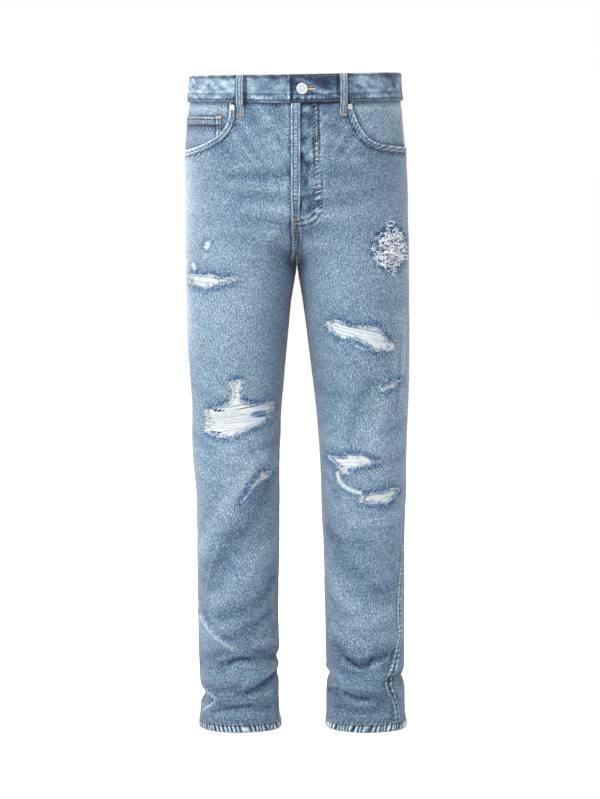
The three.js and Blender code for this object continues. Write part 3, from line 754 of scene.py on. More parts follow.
def denim(name, grain=1.0):
    """Washed denim. 'cloth' holds millimetres across and up the cloth, 'tone' how washed out it is, with
    painted shade and highlights mixed in.
    """
    n = Nodes(name)
    cloth = n.attribute("cloth", "Vector")
    fray = n.attribute("fray")
    slub = n.noise(n.scaled(cloth, 1.05, 0.25, 1, TWILL_LEAN), 1.0, 1, 0.5)
    streak = n.noise(n.scaled(cloth, 0.50, 0.055, 1, TWILL_LEAN), 1.0, 2, 0.5)
    speck = n.noise(n.scaled(cloth, 1.00, 0.55, 1, TWILL_LEAN), 1.0, 1, 0.6)
    # the tone, painted shade and highlights included, with the grain added
    fade_and_shade = n.sum(
        n.attribute("tone"),
        n.times(slub, 1.42 * grain),
        n.times(streak, 0.50 * grain),
        n.times(speck, 0.95 * grain),
        n.times(n.noise(cloth, 0.07, 3, 0.6), 0.16),
        n.times(n.noise(cloth, 0.018, 2, 0.5), 0.12),
        n.times(n.times(fray, speck), 3.2),
    )
    lining = n.times(n.math("SUBTRACT", LINING_TONE, fade_and_shade), n.times(n.attribute("lining"), 0.75))
    vivid = {"Saturation": n.math("ADD", n.times(fray, 0.35), 1.0)}
    vivid["Color"] = n.ramp(n.math("ADD", lining, fade_and_shade), DENIM_RAMP)
    weave = {"Vector": cloth, "Scale": TWILL_SCALE, "Distortion": 1.5}
    twill = n.add("TexWave", weave, wave_type="BANDS", bands_direction="DIAGONAL")
    height = n.sum(n.times(slub, 0.9), n.times(speck, 0.9), n.times(twill.outputs["Fac"], 0.3))
    colour = n.add("HueSaturation", vivid).outputs["Color"]
    n.fill(n.shader, {"Sheen Weight": 0.12, "Sheen Roughness": 0.6})
    return n.surface(colour, height, 0.55, 0.0007, Roughness=0.92, Specular_IOR_Level=0.18)


def thread(name, dark, light):
    """Yarn whose points carry 'shade' from dark to light."""
    n = Nodes(name)
    fleck = n.noise(n.position(), 900, 2, 0.6)
    share = n.math("ADD", n.attribute("shade"), n.times(fleck, 0.5), clamp=True)
    colour = n.mix(share, dark, light)
    return n.surface(colour, fleck, 0.3, 0.0002, Roughness=0.85, Specular_IOR_Level=0.2)


def rip_yarn(name):
    """Broken yarn, blue where 'shade' is low and bare cotton where it is high."""
    n = Nodes(name)
    fleck = n.noise(n.position(), 1100, 2, 0.6)
    shade = n.math("ADD", n.attribute("shade"), n.times(fleck, 0.35), clamp=True)
    colours = [
        (0.0, (0.006, 0.032, 0.115)),
        (0.3, (0.022, 0.095, 0.250)),
        (0.5, (0.12, 0.26, 0.44)),
        (0.7, (0.46, 0.51, 0.53)),
        (1.0, (0.64, 0.63, 0.60)),
    ]
    colour = n.ramp(shade, colours)
    return n.surface(colour, fleck, 0.3, 0.0002, Roughness=0.9, Specular_IOR_Level=0.15)


def metal(name, colour, worn, rough):
    n = Nodes(name)
    scratch = n.noise(n.scaled(n.position(), 1, 1, 0.2), 1500, 3, 0.6)
    patch = n.noise(n.position(), 320, 3, 0.6)
    tint = n.mix(n.math("ADD", n.times(patch, 2.2), 0.45, clamp=True), colour, worn)
    uneven = n.math("ADD", n.times(scratch, 0.35), rough, clamp=True)
    return n.surface(tint, scratch, 0.25, 0.0001, Roughness=uneven, Metallic=1.0)


DENIMS = {
    "denim": denim("washed_denim"),
    "band_denim": denim("waistband_denim", grain=0.6),
    "edge_denim": denim("edge_denim", grain=0.65),
}
WHITE_YARN = thread("bare_cotton_yarn", (0.40, 0.46, 0.52), (0.84, 0.85, 0.84))
BLUE_YARN = thread("indigo_warp_yarn", (0.012, 0.035, 0.110), (0.42, 0.52, 0.62))
RIP_YARN = rip_yarn("rip_yarn")
TONAL_STITCH = thread("tonal_stitch_thread", (0.06, 0.045, 0.035), (0.30, 0.26, 0.22))
TAN_STITCH = thread("tan_stitch_thread", (0.16, 0.10, 0.05), (0.40, 0.30, 0.19))
OCHRE_STITCH = thread("ochre_stitch_thread", (0.28, 0.16, 0.05), (0.62, 0.44, 0.20))
BUTTON_METAL = metal("brushed_button_metal", (0.62, 0.63, 0.65), (0.48, 0.49, 0.51), 0.38)
RIVET_METAL = metal("worn_rivet_metal", (0.60, 0.58, 0.54), (0.46, 0.38, 0.27), 0.40)


# ---- how washed out the cloth is, and its painted shade and highlights ----

# Paler areas, as (amount, height, its spread, degrees, their spread).
FADES = {
    "right": [(0.11, 690, 110, 75, 45), (0.15, 490, 75, 85, 50), (0.08, 400, 200, 10, 22)],
    "left": [(0.05, 740, 120, 80, 45), (0.10, 440, 90, 80, 50), (0.08, 620, 130, 30, 22)],
    "back": [(0.10, 860, 80, -95, 55), (0.05, 470, 60, -95, 45)],
}


def leg_tone(side, angle, height):
    """Tone of the leg panels, from 0 for raw indigo to 1 for bare cotton, with painted shade at the crotch
    and on the inner sides and a painted highlight down the right outer side.
    """
    degrees = angle / DEGREE
    front = np.clip(np.sin(angle), 0, 1)
    reach = section(side, angle, height)[0]
    tone = 0.455 - 0.045 * ease((height - 780) / 120) * front
    for amount, middle, tall, direction, wide in FADES[side] + FADES["back"]:
        tone += amount * bell(height, middle, tall) * bell(degrees, direction, wide)
    if side == "right":
        # a pale strip down the right leg's outer side: a wash fade and a painted highlight on the side the
        # key light falls on
        tone += 0.32 * bell(degrees, 6, 24) * ease((height - 560) / 120) * ease((1000 - height) / 80)
        tone -= 0.035 * ease((330 - height) / 80) + 0.05 * ease((170 - height) / 60)
        shaded = bell(reach, 22, 14)
    else:
        tone += 0.06 * bell(degrees, 6, 20) * ease((height - 300) / 200)
        tone -= 0.02 * ease((340 - height) / 80) + 0.10 * ease((170 - height) / 60)
        shaded = 0.8 * bell(reach, 52, 14)
    slant = 0.8 * reach - 0.6 * height
    whiskers = ripple(0.12 * (0.6 * reach + 0.8 * height), slant, 5.5, 27)
    whiskers += 0.6 * ripple(0.1 * reach, slant, 11, 28)
    level = ripple(reach * 0.16, height, 15, 29 + (side == "left"))
    tone += 0.11 * whiskers * front * ease((height - 880) / 60)
    tone += 0.07 * level * front * bell(height, 830, 70)
    tone -= 0.15 * shaded * front * ease((height - 945) / 55)
    # painted shade at the top of the crotch, between the legs
    tone -= 0.10 * front * bell(height, CROTCH + 30, 30) * bell(reach, 0, 42)
    # painted shade on the inner side of each leg, where the legs face each other
    tone -= 0.10 * bell(degrees, 165, 30) * ease((height - 420) / 200)
    return tone - 0.05 * (1 - front) * (np.sin(angle) < 0)


def crease_wear_and_shade(side, angle, height):
    """Ridges of creases and folds are worn pale and painted lighter as highlight; their troughs and hollows
    are painted darker as shade.
    """
    small = 1.3 * raised(CREASES[side], angle, height) + raised(BACK_CREASES + SHARP[side], angle, height)
    large = raised(FOLDS[side], angle, height)
    ridges = 0.20 * raised(RIDGES[side], angle, height)
    return ridges + 0.070 * np.clip(small, -2.6, 1.4) + 0.024 * np.clip(large, -5, 4)


def seam_lumps(along, seed):
    return 0.5 + 0.5 * waves(along, PUCKER_PITCH, 2.2, 19, seed)


def wear_and_shade(side, angle, height):
    """Tone and fray for points of a leg panel; the tone holds painted shade and shadows as well as fading.
    """
    tone = leg_tone(side, angle, height) + crease_wear_and_shade(side, angle, height)
    fray = 0 * tone
    reach = section(side, angle, height)[0]
    across = angle * LEG_RADIUS
    front = np.sin(angle) > -0.1
    for outline in RAGGED[side].values():
        far = distance_to(outline, reach, height, closed=True)
        fray = np.maximum(fray, front * bell(far, 0, 8.5 + 3 * ripple(reach, height, 9, 23)))
        tone -= 0.20 * front * bell(far, 0, 9)
    if side == "left":
        around = (np.abs(reach - 152) / NET_WIDE) ** 1.3 + (np.abs(height - NET_HEIGHT) / NET_TALL) ** 1.3
        net = front * np.exp(-(around**2.4))
        yarns = 0.04 + 0.55 * ripple(reach, height, 4.2, 25) + 0.30 * ripple(reach, height, 2.6, 26)
        tone += net * yarns
        fray = np.maximum(fray, 1.1 * net)
    for line, width in WORN[side]:
        far = distance_to(np.array(line, float), reach, height)
        tone += front * (hills(far, (0.55, 0, width), (-0.12, 2.2 * width, width)))
        fray = np.maximum(fray, 0.8 * front * bell(far, 0, 2.5 * width))
    far = distance_to(MOUTH_EDGE[side], reach, height)
    gathers = mouth_gathers(side, height + reach)
    mouth = hills(far, (0.55, 1.4, 1.7), (-0.52, 4.6, 1.0), (-0.62, 9.8, 1.1))
    mouth += 0.34 * bell(far, 7, 1.5) * (1 + 0.6 * gathers)
    mouth += 0.40 * bell(far, 12.5, 2.4) * gathers - 0.12 * bell(far, 12.5, 3)
    tone += mouth * (front & (height > MOUTH_LOW))
    steps = rise_steps(height)
    if side == "left":
        tone += fly_zone(reach, height, front)[1]
        felled = 0.22 * bell(reach, 4.6, 1.2) + 0.10 * steps * bell(reach, 5, 3) - 0.10 * bell(reach, 8, 2)
    else:
        # painted shadow beside the fly strip's edge on the wearer's right
        tone -= 0.20 * front * bell(reach, 11, 2.0) * (height > 820)
        felled = hills(reach, (0.40, 7.2, 1.2), (-0.42, 10, 1.5))
        felled += 0.26 * steps * bell(reach, 3.8, 2.4)
    below_fly = ease((FLY_BOTTOM + 2 - height) / 4) * ease((height - CROTCH + 6) / 6)
    tone += front * below_fly * (felled - 0.42 * bell(reach, 0.6, 1.3))
    # painted shade at the crotch point
    tone -= 0.34 * front * bell(height, CROTCH, 20) * bell(reach, 0, 13)
    outer = outer_edge(side, height)
    beside = np.minimum(np.abs(angle - outer), np.abs(angle - inner_edge(side, height, "front")))
    streaks = ripple(across, height * 0.10, 4, 21) + 0.6 * ripple(across, height * 0.2, 2.6, 22)
    tone += 0.11 * streaks * bell(beside * LEG_RADIUS, 0, 17) * (height < 900)
    bold = 1 + 1.9 * ease((330 - height) / 60) * (side == "left")
    for seam, limit in ((outer, LENGTH), (inseam(side, height), CROTCH)):
        far = seam_distance(side, seam, angle, height)
        ridge = 0.20 * bell(far, 4.2, 2.6) * seam_lumps(height, 9)
        tone += bold * (height < limit) * (ridge + hills(far, (-0.16, 0, 1.2), (-0.06, 8.5, 2.0)))
    share = np.clip((angle - outer) / (inner_edge(side, height, "back") - outer), 0, 1)
    above = height - YOKE_AT_SIDE - (YOKE_AT_BACK - YOKE_AT_SIDE) * share
    seams = 0.24 * seam_lumps(reach, 33) * bell(above, 5, 3)
    seams -= hills(above, (0.30, 0, 1.4), (0.10, 10, 2))
    rise = 0.24 * seam_lumps(height, 34) * bell(reach, 4.5, 3) * (side == "right")
    rise -= 0.25 * bell(reach, 0, 1.3)
    tone += (np.sin(angle) < -0.05) * (seams + rise * (height > CROTCH))
    above_hem = np.clip(height - HEM_HEIGHT, 0, None)
    tone += 0.16 * bell(above_hem, 0, 7) * hem_drag(across, height, 13)
    top = np.clip(BAND_BOTTOM - height, 0, None)
    tone += 0.16 * bell(top, 6, 4) * ripple(across * 1.3, height * 0.25, 6.5, 12)
    # painted shadow on the panel just under the waistband
    return tone - 0.44 * bell(top, 0, 3.2), fray


# ---- leg panels and yokes ----

FRONT_STEP = 2.5
BACK_STEP = 4.0
FRONT_DEPTH, BACK_DEPTH = 105, 130  # how deep the curved part of each rise seam is
PANEL_WIDTH, YOKE_WIDTH, YOKE_TALL = 230, 220, 70  # sizes that set the grids' steps
CLOTH = 1.5  # thickness of the visible wall
PANEL_REACH = 176.0  # cut edges move onto an outline only inside this reach
MIDDLE_GAP = 0.0001  # metres that a panel keeps from the middle plane


def rise_height(share, rise, depth, top):
    """Height of the rise seam at a share of its length, from the crotch up to a panel's top."""
    curved = math.pi / 4 * (rise + depth)
    distance = share * (curved + top - CROTCH - rise)
    bent = CROTCH + rise * (1 - np.cos(np.clip(distance / curved, 0, 1) * math.pi / 2))
    return np.where(distance > curved, CROTCH + rise + distance - curved, bent)


def panel_grid(side, facing, step):
    """Angles and heights of a fine grid over a whole leg panel."""
    rise, depth = (FRONT_RISE, FRONT_DEPTH) if facing == "front" else (BACK_RISE, BACK_DEPTH)
    side_top, rise_top = (BAND_BOTTOM, BAND_BOTTOM) if facing == "front" else (YOKE_AT_SIDE, YOKE_AT_BACK)
    level = np.linspace(HEM_HEIGHT, CROTCH, int((CROTCH - HEM_HEIGHT) / step) + 1)[:-1]
    share = np.linspace(0, 1, int((side_top - CROTCH) / step) + 1)
    outer = np.concatenate([level, CROTCH + share * (side_top - CROTCH)])
    inner = np.concatenate([level, rise_height(share, rise, depth, rise_top)])
    columns = int(PANEL_WIDTH / step)
    return rows_between(side, facing, outer, inner, columns)


def rows_between(side, facing, outer, inner, columns):
    across = np.linspace(0, 1, columns + 1)[None, :]
    height = outer[:, None] + (inner - outer)[:, None] * across
    start, end = outer_edge(side, height), inner_edge(side, height, facing)
    return start + (end - start) * across, height


def cloth_map(side, angle, height):
    """Millimetres across the cloth from its first column, and up it, for a grid of points."""
    points = place(side, angle, height, 0, 0 * angle)
    steps = np.linalg.norm(np.diff(points[..., :2], axis=1), axis=2) / MM
    across = np.pad(np.cumsum(steps, axis=1), ((0, 0), (1, 0)))
    return np.stack([-SIGN[side] * across, height, 0 * height], -1).reshape(-1, 3)


def cut_holes(side, angle, height, faces, outlines):
    """Drops the faces inside the outlines and pulls the cut edge onto them."""
    angle, height = angle.copy(), height.copy()
    reach = section(side, angle, height)[0]
    for outline in outlines:
        inside = inside_outline(outline, reach[faces].mean(1), height[faces].mean(1))
        edge = np.intersect1d(faces[inside], faces[~inside])
        faces = faces[~inside]
        if not len(edge):
            continue
        x, y, _ = nearest_on(outline, reach[edge], height[edge])
        on_panel = (x < PANEL_REACH) & (y < BAND_BOTTOM - 1)
        height[edge[on_panel]] = y[on_panel]
        angle[edge[on_panel]] = angle_at(side, x[on_panel], y[on_panel])
    return angle, height, faces


def worn_cloth(node, side, angle, height, outlines=()):
    """A part of a leg from a grid of angles and heights, with holes cut in it, its worn tone and its
    painted shade.
    """
    cloth = cloth_map(side, angle, height)
    faces = grid_faces(*angle.shape)
    angle, height, faces = cut_holes(side, angle.ravel(), height.ravel(), faces, outlines)
    tone, fray = wear_and_shade(side, angle, height)
    lift = relief(side, angle, height)
    layers = [place(side, angle, height, out, lift) for out in (0, -CLOTH)]
    for points in layers:
        points[:, 0] = SIGN[side] * np.maximum(SIGN[side] * points[:, 0], MIDDLE_GAP)
    piece = shell(f"{node}_denim", *layers, faces, {"tone": tone, "fray": fray, "cloth": cloth})
    return finish_piece(piece, DENIMS["denim"], "denim", node)


def leg_panel(side, facing):
    if facing == "back":
        return worn_cloth(f"back_leg_{side}", side, *panel_grid(side, facing, BACK_STEP))
    outlines = [above_mouth(MOUTH_EDGE[side]), *RAGGED[side].values()]
    return worn_cloth(f"front_leg_{side}", side, *panel_grid(side, facing, FRONT_STEP), outlines)


def yoke(side):
    share = np.linspace(0, 1, int(YOKE_TALL / BACK_STEP))
    columns = int(YOKE_WIDTH / BACK_STEP)
    outer = YOKE_AT_SIDE + share * (BAND_BOTTOM - YOKE_AT_SIDE)
    inner = YOKE_AT_BACK + share * (BAND_BOTTOM - YOKE_AT_BACK)
    return worn_cloth(f"yoke_{side}", side, *rows_between(side, "back", outer, inner, columns))


for side in SIGN:
    for facing in ("front", "back"):
        leg_panel(side, facing)
    yoke(side)

# ---- pieces at the pockets ----

COIN_INNER = 120.5
COIN_TOP = 986.0
POCKET_INNER, POCKET_OUTER = 26.0, 152.0
POCKET_TOP, POCKET_BOTTOM, POCKET_POINT = 912.0, 775.0, 757.0
POCKET_TAPER = 9.0
POCKET_WIDTH, POCKET_LENGTH = 118, 140
FACING_BOTTOM = 905.0
FACING_LAP = 12.0  # how far a facing runs on under the front


def soft_lift(side, angle, height):
    """Relief of a piece that lies under or on a panel: its folds and a soft ripple."""
    return raised(FOLDS[side], angle, height) + 0.4 * ripple(angle * LEG_RADIUS, height, 24, 31)


def patch(node, side, angle, height, lift, tone, out, thickness=CLOTH, faces=None, slot="denim"):
    """A closed piece of cloth without fray, from a grid of angles and heights."""
    faces = grid_faces(*angle.shape) if faces is None else faces
    cloth = cloth_map(side, angle, height)
    angle, height, lift, tone = (grid.ravel() for grid in (angle, height, lift, tone))
    outside = place(side, angle, height, out, lift)
    inside = place(side, angle, height, out - thickness, np.minimum(lift, lift * 0 + 4))
    values = {"tone": tone, "fray": 0 * tone, "cloth": cloth}
    return finish_piece(shell(f"{node}_denim", outside, inside, faces, values), DENIMS[slot], slot, node)


def pocket_facing(side):
    outer = np.linspace(FACING_BOTTOM, BAND_BOTTOM, 48)
    angle, height = rows_between(side, "front", outer, outer, 110)
    reach = section(side, angle, height)[0]
    faces = grid_faces(*angle.shape)
    middle, level = (grid.ravel()[faces].mean(1) for grid in (reach, height))
    faces = faces[inside_outline(above_mouth(MOUTH_EDGE[side] - FACING_LAP), middle, level)]
    far = distance_to(MOUTH_EDGE[side], reach, height)
    # darker along the mouth edge, as a painted shadow of that edge
    tone = 0.52 + 0.08 * ripple(angle * LEG_RADIUS, height, 22, 41) - 0.30 * bell(far, 0, 4.5)
    # a paler band, and painted shade right under the waistband
    tone += hills(height, (0.10, BAND_BOTTOM - 11, 5), (-0.22, BAND_BOTTOM, 4))
    if side == "right":
        # painted shadows of the coin pocket's top and inner edges
        tone -= 0.30 * bell(height, COIN_TOP + 2, 2) * ease((reach - COIN_INNER + 4) / 3)
        tone -= 0.25 * bell(reach, COIN_INNER - 3, 2.2) * ease((COIN_TOP + 3 - height) / 3)
    lift = soft_lift(side, angle, height)
    return patch(f"pocket_facing_{side}", side, angle, height, lift, tone, -2.3, faces=faces)


def coin_grid(columns, rows):
    """Angles and heights of the coin pocket, from the pocket mouth up to its own top edge."""
    share = np.linspace(0, 1, columns + 1)[None, :]
    mouth = MOUTH_EDGE["right"]
    height = np.full((1, columns + 1), 950.0)
    for _ in range(4):
        angle = angle_at("right", COIN_INNER, height)
        angle = angle + (outer_edge("right", height) - angle) * share
        reach = section("right", angle, height)[0]
        height = np.interp(reach, mouth[:, 0], mouth[:, 1]) + 1.0
    height = height + (COIN_TOP - height) * np.linspace(0, 1, rows + 1)[:, None]
    start = angle_at("right", COIN_INNER, height)
    return start + (outer_edge("right", height) - start) * share, height


def coin_pocket():
    angle, height = coin_grid(44, 36)
    reach = section("right", angle, height)[0]
    top = COIN_TOP - height
    edge = reach - COIN_INNER
    puckers = waves(reach, 4.6, 2, 15, 51, height)
    hem = ease((12.5 - top) / 1.5)
    lift = soft_lift("right", angle, height) + 0.55 * hem + 0.35 * puckers * bell(top, 7, 7)
    lift += 0.6 * bell(edge, 1.5, 1.6) + hills(top, (-0.7, 0, 0.7), (-0.5, 11, 1))
    tone = 0.36 + 0.10 * hem + 0.26 * puckers * bell(top, 6.5, 6) + 0.14 * bell(top, 30, 14)
    tone += hills(top, (0.30, 0.8, 1.3), (-0.5, 3.2, 1.0), (-0.45, 13.2, 1.5))
    tone += hills(edge, (0.32, 0.8, 1.5), (-0.35, 3.4, 0.9), (0.3, 5.6, 1.2))
    tone -= 0.35 * bell(edge, 8.4, 1.6) + 0.15 * bell(top, 17, 4) * (1 + puckers)
    return patch("coin_pocket", "right", angle, height, lift, tone, -0.3)


def back_pocket_places(s, t):
    """Reach and height of a back pocket's points, across it and down it."""
    top = POCKET_TOP - 6 + 10 * s
    bottom = POCKET_BOTTOM + (POCKET_POINT - POCKET_BOTTOM) * (1 - np.abs(1 - 2 * s))
    height = top + (bottom - top) * t
    taper = POCKET_TAPER * np.clip((POCKET_TOP - height) / (POCKET_TOP - POCKET_BOTTOM), 0, 1)
    return POCKET_INNER + taper + (POCKET_OUTER - POCKET_INNER - 2 * taper) * s, height


def back_pocket(side):
    s, t = np.meshgrid(np.linspace(0, 1, 47), np.linspace(0, 1, 55))
    reach, height = back_pocket_places(s, t)
    angle = angle_at(side, reach, height, "back")
    beside, below, top = np.minimum(s, 1 - s) * POCKET_WIDTH, (1 - t) * POCKET_LENGTH, t * POCKET_LENGTH
    edge = np.minimum(beside, below)
    rim = np.minimum(edge, top)
    puckers = waves(np.where(beside < below, height, reach), 6, 2, 17, 61)
    belly = np.sin(np.pi * s) * np.sin(np.pi * t)
    lift = relief(side, angle, height) + 0.5 * bell(edge, 4, 3) * (1 + 0.4 * puckers) + 1.4 * belly
    lift += 0.5 * ease((17 - top) / 2) - 0.9 * bell(rim, 0, 0.8) - 0.5 * bell(top, 16, 1.2)
    tone = leg_tone(side, angle, height) + 0.02 + 0.22 * bell(rim, 0, 1.5) + 0.07 * belly
    tone += 0.10 * bell(edge, 5, 2) * puckers + hills(edge, (-0.14, 8.2, 1.2), (-0.12, 2.4, 0.9))
    tone -= 0.14 * bell(top, 16, 1.2)
    return patch(f"back_pocket_{side}", side, angle, height, lift, tone, 1.9)


facings = {side: pocket_facing(side) for side in SIGN}
back_pockets = {side: back_pocket(side) for side in SIGN}
coin = coin_pocket()

# ---- waistband, fly strip, hems ----

# Each belt loop's side, its reach and the way it faces.
LOOPS = {
    "front_right": ("right", 88, "front"),
    "front_left": ("left", 72, "front"),
    "back_right": ("right", 94, "back"),
    "back_left": ("left", 94, "back"),
    "centre": ("left", 0, "back"),
}
LOOP_WIDTH = 12.5
LOOP_THICKNESS = 1.5
LOOP_PATH = [
    (1.7, 988.2), (2.1, 994), (2.7, 1000), (5.6, 1004.6), (8.2, 1009),
    (9.0, 1016), (9.1, 1034), (8.3, 1042), (6.0, 1047.6), (3.6, 1050.6), (1.9, 1050.2),
]

BAND_PROUD = 0.8
OVERLAP_OUT, OVERLAP_IN = 2.2, -1.6
BAND_START, BAND_END = -0.062, 0.1
WAIST_RADIUS = 155.0
ROPING_PITCH = 7.6


def round_waist(turn, height, out):
    """Points in metres by the turn from the front centre towards the wearer's left."""
    around = turn % (2 * np.pi)
    left = around <= np.pi
    x = np.empty(np.broadcast(turn, height).shape + (3,))
    for side, here, angle in (("left", left, np.pi / 2 - around), ("right", ~left, around - 1.5 * np.pi)):
        x[here] = place(side, angle[here], height[here], 0, out[here])
    return x


def band_out(turn):
    """How far out the waistband stands, with one end lapped over the other."""
    over = OVERLAP_OUT * (1 - ease((turn - 0.12) / 0.25))
    under = OVERLAP_IN * ease((turn - 2 * np.pi + 0.37) / 0.25)
    return BAND_PROUD + over + under


def band_lift(turn, height):
    """Relief of the waistband, and its puckers."""
    along, up = turn * WAIST_RADIUS, height - BAND_BOTTOM
    down, end = BAND_HEIGHT - up, (turn - BAND_START) * WAIST_RADIUS
    strength = 0.45 + 0.55 * np.clip(ripple(along, 0, 45, 72) + 0.4, 0, 1)
    puckers = strength * waves(along, 4.4, 2.5, 17, 71)
    lift = 0.5 * ripple(along, height, 17, 73) + 0.8 * ripple(along, height * 0.3, 42, 74)
    lift += 0.45 * ease((11.5 - up) / 1.6) + 0.42 * puckers * bell(up, 6.5, 3.6)
    lift -= 0.45 * bell(up, 2.9, 0.8) + 0.5 * bell(down, 2.9, 0.8) + 0.45 * bell(end, 4.4, 0.9)
    lift -= 0.9 * bell(up, 0, 0.6) + 1.1 * bell(down, 0, 0.8) + bell(end, 0, 0.7)
    return np.clip(lift, -1.4, 1.5), puckers


def on_band(turn, height, out):
    """Points in metres so many millimetres out of the waistband's surface."""
    return round_waist(turn, height, band_out(turn) + band_lift(turn, height)[0] + out)


def turn_of(side, reach, facing):
    """The turn round the waist of a place on the band."""
    angle = angle_at(side, reach, HOLD_HEIGHT, facing)
    return np.pi / 2 - angle if side == "left" else angle + 1.5 * np.pi


def strip(name, node, slot, outside, inside, tone, cloth):
    """A strip of cloth without fray, from grids of its two layers."""
    values = {"tone": tone.ravel(), "fray": 0 * tone.ravel(), "cloth": cloth.reshape(-1, 3)}
    layers = (layer.reshape(-1, 3) for layer in (outside, inside))
    return finish_piece(shell(name, *layers, grid_faces(*tone.shape), values), DENIMS[slot], slot, node)


def waistband():
    edges = [np.linspace(0, 4, 7)[:-1], np.linspace(4, 35, 17), np.linspace(35, BAND_HEIGHT, 9)[1:]]
    turns = np.linspace(BAND_START, 2 * np.pi + BAND_END, 400)
    turn, up = np.meshgrid(turns, np.concatenate(edges))
    height = BAND_BOTTOM + up
    along, down, end = turn * WAIST_RADIUS, BAND_HEIGHT - up, (turn - BAND_START) * WAIST_RADIUS
    lift, puckers = band_lift(turn, height)
    outside = round_waist(turn, height, band_out(turn) + lift)
    inside = round_waist(turn, height, band_out(turn) + np.minimum(lift, 0.4) - 2.4)
    # the lapped end up to the button is painted darker, most in its upper half, as the shade of its fold
    dark = 1 - ease((turn - 0.33) / 0.06)
    back = 2 * np.pi - turn
    patches = ripple(along + 1.5 * up, up * 1.8, 13, 75) + 0.6 * ripple(along - up, up * 2.2, 7, 76)
    tone = 0.50 - 0.15 * dark + 0.07 * (turn > np.pi) + (0.22 + 0.08 * dark) * patches
    tone += 0.16 * dark * bell(up, 14, 3) * bell(turn, 0.2, 0.08)
    tone -= 0.24 * dark * ease((up - 17 + 5 * patches) / 8)
    tone -= 0.30 * bell(back, 0.16, 0.16) * ease((up - 23 + 6 * patches) / 8)
    tone -= 0.34 * bell(turn + 0.006 * up, 1.26, 0.10) * bell(up, 30, 12)
    tone -= 0.14 * bell(back, 0.5, 0.07) + 0.14 * bell(turn, 0.46, 0.05)
    tone += 0.34 * puckers * bell(up, 7, 3.5) + hills(up, (-0.22, 12.2, 1.2), (0.12, 15, 2))
    # dark at both stitch rows, and along the bottom edge a dark line that is partly painted shadow
    tone -= hills(up, (0.30, 0.4, 1.2), (0.55, 3.4, 1.0)) + 0.25 * bell(down, 3.2, 0.9)
    tone += 0.25 * bell(down, 0.6, 1.0) * (0.5 + ripple(along, down, 9, 78)) - 0.1 * ease((5 - down) / 3)
    tone += hills(end, (0.52, 1.6, 1.8), (-0.6, 4.9, 1.2))
    # painted shadows on the band beside each belt loop
    for side, reach, facing in LOOPS.values():
        beside = np.abs(wrapped(turn - turn_of(side, reach, facing))) * WAIST_RADIUS
        tone -= 0.46 * bell(beside, LOOP_WIDTH / 2 + 1.2, 1.8)
    cloth = np.stack([along, height + 400, 0 * along], -1)
    return strip("waistband_denim", "waistband", "band_denim", outside, inside, tone, cloth)


def signed_place(reach, height, out):
    """Points in metres on the front; reach is negative on the wearer's right."""
    points = np.empty(np.shape(reach) + (3,))
    for side, here in (("right", reach < 0), ("left", reach >= 0)):
        level = height[here]
        angle = np.minimum(angle_at(side, np.abs(reach[here]), level), rise_angle(level, FRONT_RISE))
        points[here] = place(side, angle, level, 0, out[here])
    return points


FLY_LEFT, FLY_RIGHT = -9.0, 5.2


def fly_strip():
    rows = np.linspace(FLY_BOTTOM, BAND_BOTTOM - 0.2, 120)
    reach, height = np.meshgrid(np.linspace(FLY_LEFT, FLY_RIGHT, 22), rows)
    edge = np.minimum(reach - FLY_LEFT, FLY_RIGHT - reach)
    puckers = waves(height, 5.6, 2.5, 15, 81)
    lift = hills(edge, (0.75, 1.6, 1.2), (-0.5, 3.4, 0.8), (-0.8, 0, 0.5))
    lift += 0.28 * puckers * bell(edge, 5, 2.5) + 0.3 * ripple(reach, height, 14, 82)
    tone = 0.53 + (0.16 + 0.26 * ripple(reach, height, 5, 84)) * bell(edge, 1.0, 1.1)
    tone += 0.15 * puckers * bell(edge, 6, 3) - 0.34 * bell(edge, 3.3, 0.8)
    tone += 0.10 * ripple(reach, height * 0.5, 9, 83) - 0.10 * ease((860 - height) / 30)
    outside = signed_place(reach, height, 3.0 + lift)
    inside = signed_place(reach, height, 1.2 + 0 * lift)
    cloth = np.stack([reach + 300, height, 0 * reach], -1)
    return strip("fly_strip_denim", "fly_edge", "edge_denim", outside, inside, tone, cloth)


HEM_ROW = 11.2  # the height of a hem's stitching


def hem(side):
    columns = 230
    turns = round(2 * np.pi * LEG_RADIUS / ROPING_PITCH)
    around = np.arange(columns) / columns * 2 * np.pi
    angle, height = np.meshgrid(around, np.linspace(0, HEM_HEIGHT - 0.15, 12))
    across = angle * LEG_RADIUS
    seed, phase = (86, 0.5) if side == "right" else (88, 2.1)
    bend = 1.6 * np.sin(5 * angle + phase) + 0.8 * np.sin(9 * angle + 1)
    rope = np.sin(turns * angle + 0.28 * height + bend + 3.2 * ripple(across, 0, 12, seed))
    strength = np.clip(0.6 + 0.9 * ripple(across, height * 0.5, 15, seed + 1), 0.1, 1.3)
    lift = relief(side, angle, height) + 0.9 * rope * strength * bell(height, 5.5, 6)
    lift -= hills(height, (0.9, 0, 0.8), (0.45, HEM_ROW, 0.8))
    tone = 0.50 + 0.66 * rope * (0.35 + 0.65 * strength) * bell(height, 5.5, 9)
    tone += hills(height, (0.2, 0, 1.2), (-0.65, HEM_ROW, 1.2), (0.35, 12.8, 0.7))
    faces = grid_faces(*angle.shape, closed=True)
    return patch(f"hem_{side}", side, angle, height, lift, tone, 0.8, 2.2, faces, "edge_denim")


band = waistband()
fly = fly_strip()
hems = {side: hem(side) for side in SIGN}

# ---- belt loops ----


def loop_path(side, reach, facing, count):
    """A belt loop's path as (distance out, height), and half its width as a step across it."""
    path = curve_through(LOOP_PATH, count)
    nx, ny = outward(side, angle_at(side, reach, HOLD_HEIGHT, facing), HOLD_HEIGHT)
    across = np.array([-ny * SIGN[side], nx, 0.0]) * (LOOP_WIDTH / 2 * MM)
    return path, across


